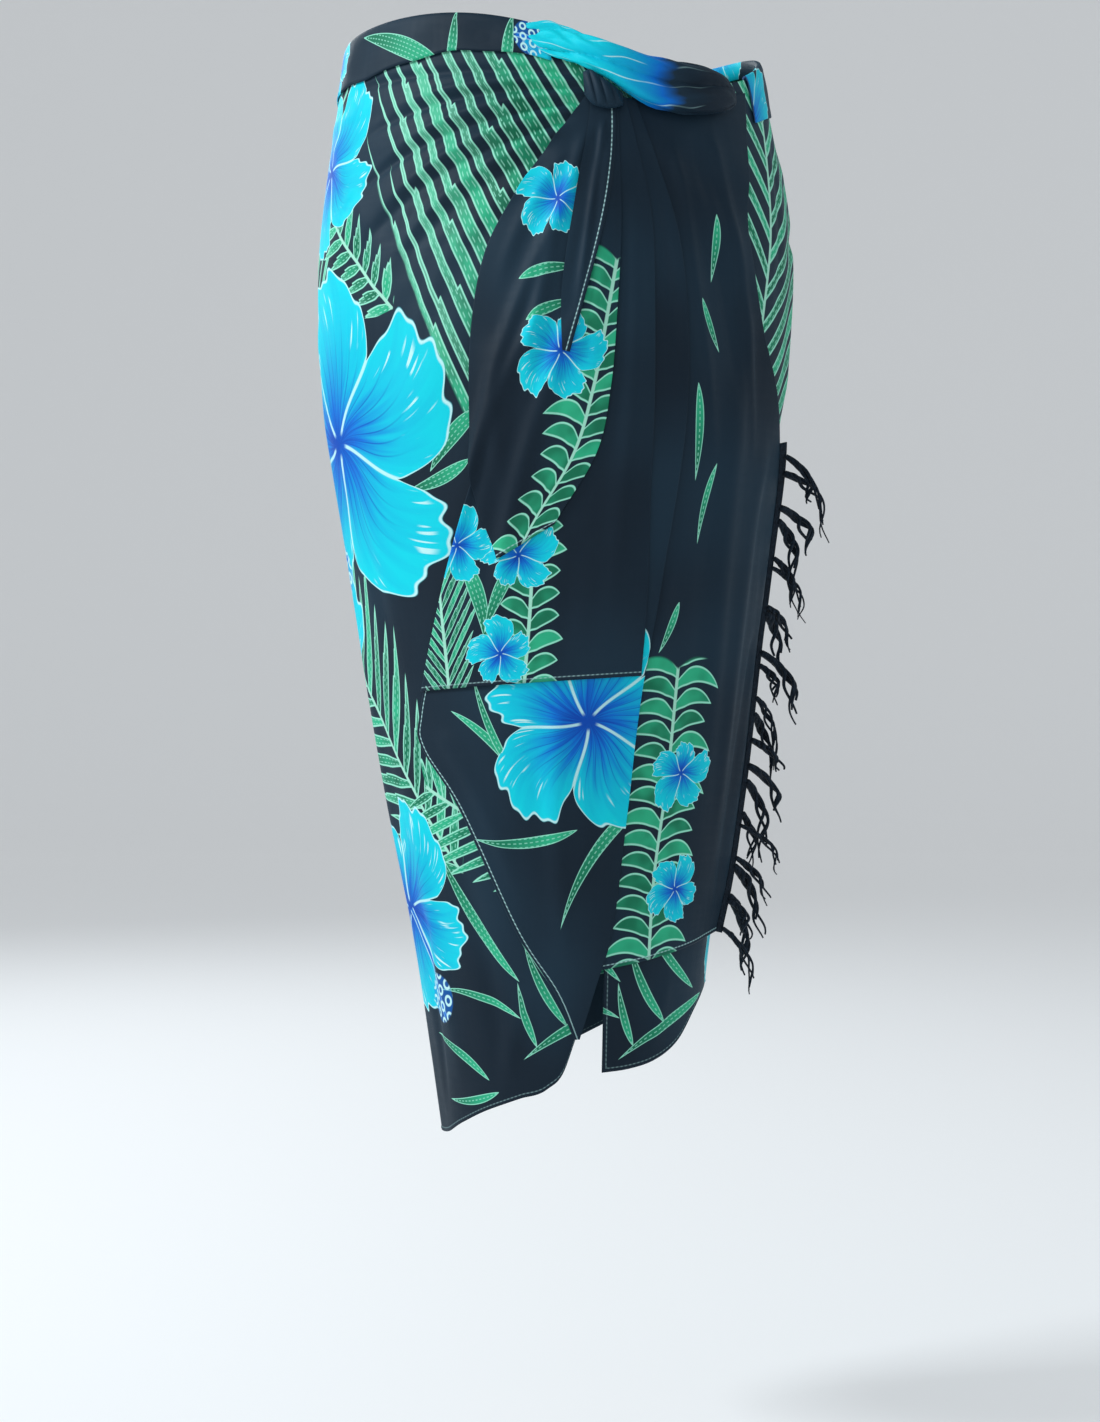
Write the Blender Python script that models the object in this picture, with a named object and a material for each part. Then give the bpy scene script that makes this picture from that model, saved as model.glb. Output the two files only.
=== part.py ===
"""A worn sarong: one long cloth wound round the hips, turned down at the waist and knotted at the left hip.

Sizes are metres. The wearer faces -Y with +X at the wearer's left and +Z up. The origin is the middle of the waist.
A place on the garment is (turn, height, lift): the angle round the body in degrees from the front centre
towards the wearer's left, the height above the origin, and the distance outside the body form.
"""

import math
from collections import namedtuple

import bpy
import numpy as np

# Cloth: each layer is a wall, and the next layer lies a small gap outside it.
WALL = 0.0012
GAP = 0.00045
LAYER = WALL + GAP

# The body form that the cloth is wound on, from above the waist to below the hem.
Section = namedtuple("Section", "height half_width front back middle_x middle_y")
BODY = (
    Section(-0.850, 0.0880, 0.081, 0.083, 0.011, 0.009),
    Section(-0.760, 0.0995, 0.088, 0.090, 0.010, 0.007),
    Section(-0.660, 0.1127, 0.096, 0.099, 0.008, 0.005),
    Section(-0.560, 0.1296, 0.105, 0.109, 0.005, 0.003),
    Section(-0.460, 0.1450, 0.112, 0.118, 0.002, 0.002),
    Section(-0.360, 0.1610, 0.120, 0.128, 0.000, 0.002),
    Section(-0.270, 0.1769, 0.126, 0.142, -0.001, 0.003),
    Section(-0.200, 0.1836, 0.128, 0.152, -0.002, 0.004),
    Section(-0.140, 0.1850, 0.127, 0.153, -0.002, 0.004),
    Section(-0.090, 0.1790, 0.125, 0.146, -0.002, 0.002),
    Section(-0.040, 0.1700, 0.122, 0.134, -0.002, 0.000),
    Section(0.030, 0.1570, 0.119, 0.121, -0.002, 0.000),
)
MEAN_GIRTH_RADIUS = 0.150

# The waist edge: level round the body, and pulled down at the left hip.
WAIST_TOP = 0.020
WAIST_DIP = 0.056
WAIST_DIP_TURN = 57.0
WAIST_DIP_WIDTH = 45.0

# The wrap's hem, by turn from the inner end at the left front, round the back, to the outer end.
Hem = namedtuple("Hem", "turn height")
WRAP_HEM = (
    Hem(33, -0.754), Hem(45, -0.752), Hem(58, -0.747), Hem(72, -0.735),
    Hem(86, -0.713), Hem(102, -0.700), Hem(128, -0.704), Hem(165, -0.730),
    Hem(205, -0.766), Hem(245, -0.797), Hem(280, -0.812), Hem(302, -0.811),
    Hem(322, -0.799), Hem(340, -0.786), Hem(358, -0.774), Hem(370, -0.766),
    Hem(377, -0.753), Hem(382, -0.728),
)
# The wrap's outer end: where it stands on the front, from the waist down.
Front = namedtuple("Front", "share turn")
WRAP_FRONT = (Front(0.0, 392), Front(0.25, 398), Front(0.5, 398), Front(0.75, 392), Front(0.92, 386), Front(1.0, 382))
WRAP_START_TURN = 33.0
OVERLAP_TURNS = (300.0, 366.0)

# The knot, which all the gathers and falls run from.
KNOT_TURN = 27.0
KNOT_HEIGHT = -0.045

# Pleats that run from the knot over the front: the angle from straight down, the ridge's height,
# its half width in degrees, and how far from the knot it fades out.
Pleat = namedtuple("Pleat", "angle rise half_width reach")
FRONT_PLEATS = (
    Pleat(-80, 0.0030, 6.0, 0.20),
    Pleat(-64, 0.0038, 6.5, 0.28),
    Pleat(-47, 0.0038, 7.0, 0.34),
    Pleat(-29, 0.0030, 7.0, 0.42),
)
SIDE_PLEATS = (
    Pleat(20, 0.0034, 6.0, 0.62),
    Pleat(38, 0.0044, 6.5, 0.46),
    Pleat(61, 0.0034, 8.0, 0.26),
)
LONG_PLEATS = (Pleat(-7, 0.0024, 6.0, 0.75), Pleat(7, 0.0024, 5.5, 0.70))
SHORT_PLEATS = (Pleat(-14, 0.0024, 6.0, 0.50), Pleat(1, 0.0024, 6.0, 0.46))
WIDE_PLEATS = (Pleat(-19, 0.0028, 7.0, 0.34), Pleat(-3, 0.0022, 6.5, 0.30))
NARROW_PLEATS = (Pleat(-8, 0.0018, 6.0, 0.22),)

# Broad folds all round the skirt: turn, height of the fold, half width in degrees.
Fold = namedtuple("Fold", "turn rise half_width")
SKIRT_FOLDS = (
    Fold(118, 0.0035, 8), Fold(141, 0.0045, 9), Fold(166, 0.0035, 8), Fold(190, 0.0045, 9),
    Fold(214, 0.0035, 8), Fold(238, 0.0040, 9), Fold(262, 0.0030, 8), Fold(287, 0.0035, 9),
)

# Each fall of cloth, row by row from the knot down: where its left and right edges are.
Row = namedtuple("Row", "left_turn left_height right_turn right_height")
FRINGED_FALL = (
    Row(31, -0.058, 74, -0.040), Row(33, -0.120, 67, -0.118), Row(35, -0.170, 67, -0.165),
    Row(37, -0.220, 73, -0.215), Row(38, -0.270, 86, -0.265), Row(38, -0.330, 102, -0.330),
    Row(38, -0.400, 108, -0.400), Row(37, -0.470, 110, -0.470), Row(35, -0.540, 109, -0.540),
    Row(31, -0.615, 104, -0.605), Row(30, -0.678, 97, -0.656),
)
LONG_FALL = (
    Row(26, -0.056, 36, -0.056), Row(16, -0.150, 44, -0.150), Row(6, -0.250, 48, -0.240),
    Row(-6, -0.350, 48, -0.330), Row(-18, -0.430, 45, -0.410), Row(-29, -0.492, 42, -0.470),
    Row(-30, -0.516, 40.5, -0.510), Row(-17, -0.560, 39, -0.560), Row(0, -0.648, 35.5, -0.646),
    Row(14, -0.694, 29.5, -0.690), Row(21.2, -0.728, 23.5, -0.728),
)
SHORT_FALL = (
    Row(24.5, -0.056, 33.5, -0.056), Row(13, -0.150, 37.5, -0.140), Row(5, -0.240, 39, -0.240),
    Row(-3.5, -0.324, 40, -0.320), Row(-16, -0.408, 41.5, -0.400), Row(-26.5, -0.475, 41, -0.464),
)
WIDE_TAIL = (
    Row(24.6, -0.053, 31.6, -0.053), Row(14.5, -0.090, 31, -0.088), Row(7.5, -0.120, 30.6, -0.118),
    Row(0.5, -0.162, 30.3, -0.155), Row(-3, -0.224, 29.8, -0.205), Row(-3.8, -0.290, 28.8, -0.260),
    Row(-3.2, -0.335, 26.0, -0.308), Row(2.2, -0.381, 16.5, -0.357),
)
NARROW_TAIL = (
    Row(25.4, -0.053, 31.0, -0.053), Row(23.5, -0.085, 30.2, -0.085), Row(21, -0.118, 28.6, -0.116),
    Row(18.8, -0.160, 25.8, -0.158), Row(17.6, -0.200, 22.8, -0.198), Row(18.0, -0.236, 19.6, -0.237),
)

# The waist band, turned down outside the wrap, from the left side round the back to the front.
BAND_TURNS = (77.0, 376.0)
BAND_DEEP = 0.038
BAND_INSIDE = 0.012
BAND_TAPER = 70.0

# The roll: the band's front end, which thickens and crosses the gathers to the left hip.
Bulge = namedtuple("Bulge", "turn top tall outer stack")
ROLL = (
    Bulge(16.2, 0.0000, 0.026, 0.0080, 0.0036),
    Bulge(20.0, -0.0050, 0.025, 0.0115, 0.0040),
    Bulge(23.5, -0.0100, 0.025, 0.0165, 0.0055),
    Bulge(28.0, -0.0160, 0.028, 0.0220, 0.0080),
    Bulge(33.0, -0.0220, 0.033, 0.0240, 0.0085),
    Bulge(38.0, -0.0270, 0.037, 0.0245, 0.0072),
    Bulge(44.0, -0.0300, 0.038, 0.0240, 0.0062),
    Bulge(50.0, -0.0315, 0.037, 0.0235, 0.0056),
    Bulge(56.0, -0.0330, 0.033, 0.0210, 0.0055),
    Bulge(61.0, -0.0360, 0.026, 0.0170, 0.0056),
    Bulge(65.0, -0.0410, 0.015, 0.0120, 0.0058),
)
ROLL_STEP = 0.60
ROLL_CLEAR = 0.0034

# The knot's neck under the roll, which the two tails hang from.
NECK = (
    Bulge(23.6, -0.0400, 0.016, 0.0165, 0.0118),
    Bulge(25.0, -0.0386, 0.024, 0.0200, 0.0118),
    Bulge(27.5, -0.0439, 0.0225, 0.0225, 0.0118),
    Bulge(30.5, -0.0504, 0.016, 0.0210, 0.0118),
    Bulge(32.4, -0.0549, 0.009, 0.0170, 0.0118),
)

# Fringe along the fringed fall's free edge.
FRINGE_FROM = 0.44
FRINGE_SEGMENTS = 66
STRIP_WIDE = 0.0050
STRIP_THICK = 0.0018
STRIP_CURL = 52.0
LOCK_EVERY = 3
LOCK_LENGTH = 0.050
LOCK_ROOT = 0.0032
LOCK_TIP = 0.0014
# Neighbouring locks swing apart: the angle of each from the cloth's run towards straight outwards.
LOCK_SWINGS = (34.0, 84.0, 66.0, 50.0)
LOCK_ROWS = 5

NAVY = (0.012, 0.020, 0.040, 1.0)
BLACK = (0.006, 0.008, 0.013, 1.0)
SEA_BLUE = (0.010, 0.300, 0.620, 1.0)


def column(rows, along, name, at):
    """Reads one named column of a table at any place, on a smooth curve through its rows."""
    x = np.array([getattr(row, along) for row in rows], float)
    y = np.array([getattr(row, name) for row in rows], float)
    slope = np.gradient(y, x)
    at = np.clip(at, x[0], x[-1])
    i = np.clip(np.searchsorted(x, at) - 1, 0, len(x) - 2)
    step = x[i + 1] - x[i]
    t = (at - x[i]) / step
    near = (2 * t**3 - 3 * t**2 + 1) * y[i] + (t**3 - 2 * t**2 + t) * step * slope[i]
    far = (3 * t**2 - 2 * t**3) * y[i + 1] + (t**3 - t**2) * step * slope[i + 1]
    return near + far


def smooth_step(value, low, high):
    t = np.clip((value - low) / (high - low), 0, 1)
    return t * t * (3 - 2 * t)


def body_point(turn, height):
    """A point on the body form."""
    angle = np.radians(turn)
    depth = np.where(np.cos(angle) > 0, column(BODY, "height", "front", height), column(BODY, "height", "back", height))
    x = column(BODY, "height", "middle_x", height) + column(BODY, "height", "half_width", height) * np.sin(angle)
    y = column(BODY, "height", "middle_y", height) - depth * np.cos(angle)
    return np.stack([x, y, height + 0 * angle], -1)


def outward(turn, height):
    """The unit normal of the body form."""
    across = body_point(turn + 0.5, height) - body_point(turn - 0.5, height)
    up = body_point(turn, height + 0.002) - body_point(turn, height - 0.002)
    normal = np.cross(across, up)
    return normal / np.linalg.norm(normal, axis=-1, keepdims=True)


def place(turn, height, lift):
    turn, height, lift = np.broadcast_arrays(turn, height, lift)
    return body_point(turn, height) + outward(turn, height) * lift[..., None]


def waist_edge(turn):
    from_dip = (np.mod(turn - WAIST_DIP_TURN + 180, 360) - 180) / WAIST_DIP_WIDTH
    return WAIST_TOP - WAIST_DIP * np.exp(-(from_dip**2))


def about_knot(turn, height):
    """The distance from the knot, and the angle from straight down, positive to the wearer's left."""
    sideways = np.radians(turn - KNOT_TURN) * MEAN_GIRTH_RADIUS
    down = KNOT_HEIGHT - height
    return np.hypot(sideways, down), np.degrees(np.arctan2(sideways, down))


def pleats(rows, turn, height):
    """How far the pleats that run from the knot stand out."""
    distance, angle = about_knot(turn, height)
    rise = 0 * distance
    for pleat in rows:
        ridge = np.exp(-(((angle - pleat.angle) / pleat.half_width) ** 2))
        rise = rise + pleat.rise * ridge * smooth_step(distance, 0.015, 0.160) * (
            1 - smooth_step(distance, pleat.reach * 0.5, pleat.reach)
        )
    return rise


def ground(turn, height):
    """Relief of the wrap itself: pleats on the front, broad folds on the sides and back."""
    near_front = np.mod(turn + 180, 360) - 180
    rise = pleats(FRONT_PLEATS, near_front, height)
    full_turn = np.mod(turn, 360)
    deep = smooth_step(-height, 0.06, 0.45)
    for fold in SKIRT_FOLDS:
        rise = rise + fold.rise * deep * np.exp(-(((full_turn - fold.turn) / fold.half_width) ** 2))
    return rise


def wrap_lift(turn, height):
    return ground(turn, height) + LAYER * smooth_step(turn, *OVERLAP_TURNS)


def fringed_lift(turn, height):
    levels = 2 - smooth_step(turn, 44, 62)
    flare = 0.007 * smooth_step(turn, 84, 106) * smooth_step(-height, 0.25, 0.40)
    return ground(turn, height) + LAYER * levels + pleats(SIDE_PLEATS, turn, height) + flare


def long_lift(turn, height):
    levels = 2 + 1.12 * smooth_step(turn, 8, 26)
    return ground(turn, height) + LAYER * levels + pleats(SIDE_PLEATS + LONG_PLEATS, turn, height)


def short_lift(turn, height):
    return long_lift(turn, height) + LAYER + pleats(SHORT_PLEATS, turn, height)


def wide_lift(turn, height):
    return short_lift(turn, height) + LAYER + pleats(WIDE_PLEATS, turn, height)


def narrow_lift(turn, height):
    return wide_lift(turn, height) + LAYER + pleats(NARROW_PLEATS, turn, height)


def material(name, colour, roughness):
    made = bpy.data.materials.new(name)
    made.use_nodes = True
    shader = made.node_tree.nodes["Principled BSDF"]
    shader.inputs["Base Color"].default_value = colour
    shader.inputs["Roughness"].default_value = roughness
    made.diffuse_color = colour
    return made


def add_object(name, points, faces, finish):
    mesh = bpy.data.meshes.new(name)
    mesh.from_pydata([tuple(point) for point in points], [], faces)
    mesh.validate()
    mesh.shade_smooth()
    mesh.set_sharp_from_angle(angle=math.radians(50))
    mesh.materials.append(finish)
    made = bpy.data.objects.new(name, mesh)
    bpy.context.scene.collection.objects.link(made)
    return made


def wall_faces(rows, columns):
    """Faces of a sheet with two sides: the inner points come first, then the outer ones."""
    outer = rows * columns

    def inner_at(row, col):
        return row * columns + col

    faces = []
    for row in range(rows - 1):
        for col in range(columns - 1):
            quad = [inner_at(row, col), inner_at(row, col + 1), inner_at(row + 1, col + 1), inner_at(row + 1, col)]
            faces.append(quad)
            faces.append([outer + corner for corner in reversed(quad)])
    rim = [inner_at(0, col) for col in range(columns)]
    rim += [inner_at(row, columns - 1) for row in range(1, rows)]
    rim += [inner_at(rows - 1, col) for col in range(columns - 2, -1, -1)]
    rim += [inner_at(row, 0) for row in range(rows - 2, 0, -1)]
    for here, after in zip(rim, rim[1:] + rim[:1]):
        faces.append([after, here, outer + here, outer + after])
    return faces


def sheet(name, turn, height, lift, finish):
    """A wall of cloth over a grid of places: rows run down, columns run towards the wearer's left."""
    inner = place(turn, height, lift).reshape(-1, 3)
    outer = place(turn, height, lift + WALL).reshape(-1, 3)
    return add_object(name, np.concatenate([inner, outer]), wall_faces(*turn.shape), finish)


def spaced(stops, counts):
    """Numbers from the first stop to the last, with so many steps between each stop and the next."""
    parts = [np.linspace(a, b, n, endpoint=False) for a, b, n in zip(stops, stops[1:], counts)]
    return np.concatenate([*parts, [stops[-1]]])


def make_wrap(finish):
    """The wound stretch, one turn and a little more: inner end, left side, back, right side, front."""
    start = WRAP_START_TURN
    stations = (spaced((start, 110, 290, 330, 386), (12, 25, 7, 15)) - start) / (386 - start)
    rows = np.linspace(0, 1, 21)
    across, down = np.meshgrid(stations, rows)
    # The rows crowd towards the waist at the front, where the pleats run across.
    crowd = 1.25 + 0.65 * smooth_step(start + across * (386 - start), 285, 335)
    down = down**crowd
    end = column(WRAP_FRONT, "share", "turn", down)
    turn = start + across * (end - start)
    hem_turn = start + across * (WRAP_HEM[-1].turn - start)
    top = waist_edge(turn) - WALL - GAP
    height = top + (column(WRAP_HEM, "turn", "height", hem_turn) - top) * down
    return sheet("wrap", turn, height, wrap_lift(turn, height), finish)


def fall_grid(rows, columns, steps):
    """The places of a fall of cloth between its left and right edges."""
    table_place = np.arange(len(rows))
    counted = [namedtuple("Counted", ("place", *Row._fields))(i, *row) for i, row in zip(table_place, rows)]
    # The rows crowd towards the knot, where the pleats change most.
    down = (len(rows) - 1) * np.linspace(0, 1, steps + 1) ** 1.3
    edge = {name: column(counted, "place", name, down)[:, None] for name in Row._fields}
    across = np.linspace(0, 1, columns + 1)[None, :]
    turn = edge["left_turn"] + (edge["right_turn"] - edge["left_turn"]) * across
    height = edge["left_height"] + (edge["right_height"] - edge["left_height"]) * across
    return turn, height


def make_fall(name, rows, columns, steps, lift, finish):
    turn, height = fall_grid(rows, columns, steps)
    return sheet(name, turn, height, lift(turn, height), finish)


def loft(name, sections, finish):
    """A closed solid through sections that all have the same count of points, with flat ends."""
    count = len(sections[0])
    faces = [list(range(count - 1, -1, -1))]
    for row in range(len(sections) - 1):
        for i in range(count):
            here = row * count + i
            after = row * count + (i + 1) % count
            faces.append([here, after, after + count, here + count])
    last = (len(sections) - 1) * count
    faces.append([last + i for i in range(count)])
    return add_object(name, np.concatenate(sections), faces, finish)


def make_band(finish):
    """The turned-down waist: a hook in section, outside the wrap, over its edge and a little way in."""
    sections = []
    first, last = BAND_TURNS
    for turn in np.linspace(first, last, 61):
        edge = waist_edge(turn)
        taper = smooth_step(last - turn, -20, BAND_TAPER) * smooth_step(turn - first, -60, 25)
        low = edge - 0.020 - (BAND_DEEP - 0.020) * taper
        over = wrap_lift(turn, edge) + WALL + GAP
        under = wrap_lift(turn, low) + WALL + GAP
        inside = wrap_lift(turn, edge) - GAP
        hook = (
            (under + WALL, low), (over + WALL, edge - 0.008), (over + WALL, edge - 0.0005), (over, edge + 0.0009),
            (inside, edge + 0.0009), (inside - WALL, edge - 0.0005), (inside - WALL, edge - BAND_INSIDE),
            (inside, edge - BAND_INSIDE), (inside, edge - WALL), (over, edge - WALL), (over, edge - 0.008), (under, low),
        )
        lift, height = np.array(hook[::-1]).T
        sections.append(place(turn, height, lift))
    return loft("waist_band", sections, finish)


def make_roll(finish):
    """The thick front end of the waist band, lying over the gathers."""
    sections = []
    for turn in np.linspace(ROLL[0].turn, ROLL[-1].turn, 22):
        at = {name: column(ROLL, "turn", name, turn) for name in Bulge._fields}
        thick = at["outer"] - at["stack"]
        step = min(ROLL_CLEAR, at["stack"])
        outline = (
            (0.02, at["stack"] + thick * 0.30), (0.14, at["stack"] + thick * 0.74), (0.38, at["outer"]),
            (0.62, at["outer"] - thick * 0.04), (0.84, at["outer"] - thick * 0.34), (0.99, step + 0.0035),
            (0.99, step), (ROLL_STEP, step), (ROLL_STEP - 0.08, at["stack"]), (0.10, at["stack"]),
        )
        share, lift = np.array(outline[::-1]).T
        height = at["top"] - at["tall"] * (1 - share)
        sections.append(place(turn, height, lift))
    return loft("waist_roll", sections, finish)


def make_neck(finish):
    """The pinched neck of the knot."""
    sections = []
    for turn in np.linspace(NECK[0].turn, NECK[-1].turn, 9):
        at = {name: column(NECK, "turn", name, turn) for name in Bulge._fields}
        ridge = 0.0006 * math.cos(math.radians(360 * (turn - NECK[0].turn) / 2.2))
        around = np.radians(np.arange(0, 360, 36))
        height = at["top"] - at["tall"] * (0.5 + 0.5 * np.cos(around))
        lift = (at["outer"] + at["stack"]) / 2 + ((at["outer"] - at["stack"]) / 2 + ridge) * np.sin(around)
        sections.append(place(turn, height, lift)[::-1])
    return loft("knot", sections, finish)


def edge_of_fringed_fall(share):
    """The free edge of the fringed fall at a share of its rows: turn, height and lift."""
    counted = [namedtuple("Counted", ("place", *Row._fields))(i, *row) for i, row in enumerate(FRINGED_FALL)]
    at = share * (len(FRINGED_FALL) - 1)
    turn = column(counted, "place", "right_turn", at)
    height = column(counted, "place", "right_height", at)
    return turn, height, fringed_lift(turn, height)


def unit(vector):
    return vector / np.linalg.norm(vector)


def lock_rings(root, away, number):
    """The rings of one lock, square to its run, from its root face out and down to its tip."""
    down = np.array([0, 0, -1.0])
    middle = root.mean(axis=0)
    length = LOCK_LENGTH * (1 + 0.22 * math.sin(2.3 * number))
    droop = 1.05 + 0.30 * math.sin(1.7 * number + 0.6)
    broad, across = root[1] - root[0], root[3] - root[0]
    rings = []
    for row in range(1, LOCK_ROWS + 1):
        share = row / LOCK_ROWS
        out = length * (0.62 * share + 0.10 * math.sin(3.0 * share))
        fall = length * droop * (0.30 * share + 0.45 * share**2)
        run = away * (0.62 + 0.30 * math.cos(3.0 * share)) + down * droop * (0.30 + 0.90 * share)
        half = (LOCK_ROOT + (LOCK_TIP - LOCK_ROOT) * share) / 2
        # Each ring turns as little as it can from the ring before it.
        across = unit(across - run * np.dot(across, run) / np.dot(run, run)) * half
        broad = unit(broad - run * np.dot(broad, run) / np.dot(run, run)) * half
        centre = middle + away * out + down * fall
        rings.append(centre + np.array([-broad - across, broad - across, broad + across, across - broad]))
    return rings


def make_fringe(finish):
    """The knotted warp ends: a narrow strip just off the free edge, and the locks that grow out of it."""
    shares = np.linspace(FRINGE_FROM, 1.0, FRINGE_SEGMENTS + 1)
    turn, height, lift = edge_of_fringed_fall(shares)
    edge = place(turn, height, lift)
    normal = outward(turn, height)
    along = np.gradient(edge, axis=0)
    side = np.cross(along, normal)
    side /= np.linalg.norm(side, axis=-1, keepdims=True)
    side *= np.sign((side[0] * (place(turn[0] + 1, height[0], lift[0]) - edge[0])).sum())
    # The edge curls away from the body, so the strip and its locks stand outwards.
    curl = math.radians(STRIP_CURL)
    out = side * math.cos(curl) + normal * math.sin(curl)
    thick = (side * math.sin(curl) - normal * math.cos(curl)) * STRIP_THICK
    near = edge + side * GAP + normal * WALL
    far = near + out * STRIP_WIDE
    corners = np.stack([near, far, far + thick, near + thick], axis=1)
    points = list(corners.reshape(-1, 3))
    faces = [[0, 1, 2, 3]]
    number = 0
    for row in range(FRINGE_SEGMENTS):
        for i in range(4):
            here, after = row * 4 + i, row * 4 + (i + 1) % 4
            quad = [here, here + 4, after + 4, after]
            outer_side = i == 1
            if not outer_side or row % LOCK_EVERY != 1:
                faces.append(quad)
                continue
            number += 1
            root = np.array([points[corner] for corner in quad])
            swing = math.radians(LOCK_SWINGS[number % len(LOCK_SWINGS)])
            outwards = unit(side[row] * math.cos(swing) + normal[row] * math.sin(swing))
            ring = quad
            for places in lock_rings(root, outwards, number):
                first = len(points)
                points += list(places)
                fresh = [first + corner for corner in range(4)]
                for a in range(4):
                    b = (a + 1) % 4
                    faces.append([ring[a], ring[b], fresh[b], fresh[a]])
                ring = fresh
            faces.append(ring)
    last = FRINGE_SEGMENTS * 4
    faces.append([last + 3, last + 2, last + 1, last])
    return add_object("fringe", points, faces, finish)


def main():
    for old in list(bpy.data.objects):
        bpy.data.objects.remove(old)
    navy = material("printed_cloth", NAVY, 0.62)
    black = material("fringe_yarn", BLACK, 0.80)
    blue = material("rolled_cloth", SEA_BLUE, 0.58)
    make_wrap(navy)
    make_band(navy)
    make_roll(blue)
    make_neck(navy)
    make_fall("fringed_fall", FRINGED_FALL, 20, 22, fringed_lift, navy)
    make_fall("long_fall", LONG_FALL, 14, 24, long_lift, navy)
    make_fall("short_fall", SHORT_FALL, 14, 16, short_lift, navy)
    make_fall("wide_tail", WIDE_TAIL, 12, 16, wide_lift, navy)
    make_fall("narrow_tail", NARROW_TAIL, 5, 12, narrow_lift, navy)
    make_fringe(black)


main()
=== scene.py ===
"""The looks of a worn sarong: printed rayon wound round the hips, turned down, rolled and knotted.

Sizes are metres, except that the tables of places are written in millimetres. A place on the cloth is a turn
in degrees round the form, from the front centre towards the wearer's left, a height above the origin, and a
lift, the distance outside the form.
"""

import math
from collections import namedtuple

import bmesh
import bpy
import numpy as np
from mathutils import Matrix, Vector

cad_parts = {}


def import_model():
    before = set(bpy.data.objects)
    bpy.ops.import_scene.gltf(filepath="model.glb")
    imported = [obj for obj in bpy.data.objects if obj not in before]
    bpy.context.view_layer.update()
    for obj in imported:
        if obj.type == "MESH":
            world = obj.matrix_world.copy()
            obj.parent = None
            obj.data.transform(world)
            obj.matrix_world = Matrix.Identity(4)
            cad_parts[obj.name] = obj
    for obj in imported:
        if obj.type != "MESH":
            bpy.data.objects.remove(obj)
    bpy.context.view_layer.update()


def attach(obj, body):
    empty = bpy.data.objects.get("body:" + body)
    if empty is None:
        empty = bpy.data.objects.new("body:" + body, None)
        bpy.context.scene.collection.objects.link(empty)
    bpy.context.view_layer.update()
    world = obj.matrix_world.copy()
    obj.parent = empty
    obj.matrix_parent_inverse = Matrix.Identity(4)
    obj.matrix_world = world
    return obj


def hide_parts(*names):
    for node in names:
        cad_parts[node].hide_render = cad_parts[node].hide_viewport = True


# The solids' wall and layer, and the thinner visible cloth, which lies flush with the wall's outer face.
WALL = 0.0012
LAYER = 0.00165
CLOTH = 0.0007

# A rolled hem: how far it stands out, how far in from the edge its ridge runs, and how wide the ridge is.
HEM_RISE = 0.00055
HEM_MIDDLE = 0.0013
HEM_WIDE = 0.0011
FAR_FROM_HEM = 9.0


# The endings of the columns that aren't lengths.
NO_LENGTHS = ("turn", "angle", "share", "lean", "curl", "fill", "taper", "blunt", "stepped", "dotted", "seed",
              "stamen", "bend")


def table(kind, rows):
    """Named rows. The columns that are lengths go from millimetres to metres."""
    scales = [1 if name.endswith(NO_LENGTHS) else 1000 for name in kind._fields]
    return tuple(kind(*(value / scale for value, scale in zip(row, scales))) for row in rows)


# The oval form that the cloth is wound on.
Section = namedtuple("Section", "height half_width front back middle_x middle_y")
BODY = table(Section, (
    (-850, 88, 81, 83, 11, 9), (-760, 99.5, 88, 90, 10, 7), (-660, 112.7, 96, 99, 8, 5),
    (-560, 129.6, 105, 109, 5, 3), (-460, 145, 112, 118, 2, 2), (-360, 161, 120, 128, 0, 2),
    (-270, 176.9, 126, 142, -1, 3), (-200, 183.6, 128, 152, -2, 4), (-140, 185, 127, 153, -2, 4),
    (-90, 179, 125, 146, -2, 2), (-40, 170, 122, 134, -2, 0), (30, 157, 119, 121, -2, 0),
))
HIP_HEIGHT = -0.200
# The mean radii by which the pleats and the creases turn degrees into distances.
PLEAT_RADIUS = 0.150
CREASE_RADIUS = 0.155

# The waist edge: level all round, but pulled down at the left hip.
WAIST_TOP = 0.020
WAIST_DIP = 0.056
WAIST_DIP_TURN = 57.0
WAIST_DIP_WIDTH = 45.0

# The wrap's hem, its front edge on the way down, its two ends, and how wide their hems are in degrees.
Hem = namedtuple("Hem", "turn height")
WRAP_HEM = table(Hem, (
    (33, -754), (45, -752), (58, -747), (72, -735), (86, -713), (102, -700), (128, -704), (165, -730),
    (205, -766), (245, -797), (280, -812), (302, -811), (322, -799), (340, -786), (358, -774),
    (370, -766), (377, -753), (382, -728),
))
Front = namedtuple("Front", "share turn")
WRAP_FRONT = table(Front, ((0, 392), (0.25, 398), (0.5, 398), (0.75, 392), (0.92, 386), (1, 382)))
WRAP_START_TURN = 33.0
WRAP_LAST_TURN = 386.0
HEM_TURNS = 1.5

# Where the outer end of the wrap rises over its inner end, and where the knot is.
OVERLAP_TURNS = (300.0, 366.0)
KNOT_TURN = 27.0
KNOT_HEIGHT = -0.045

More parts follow.
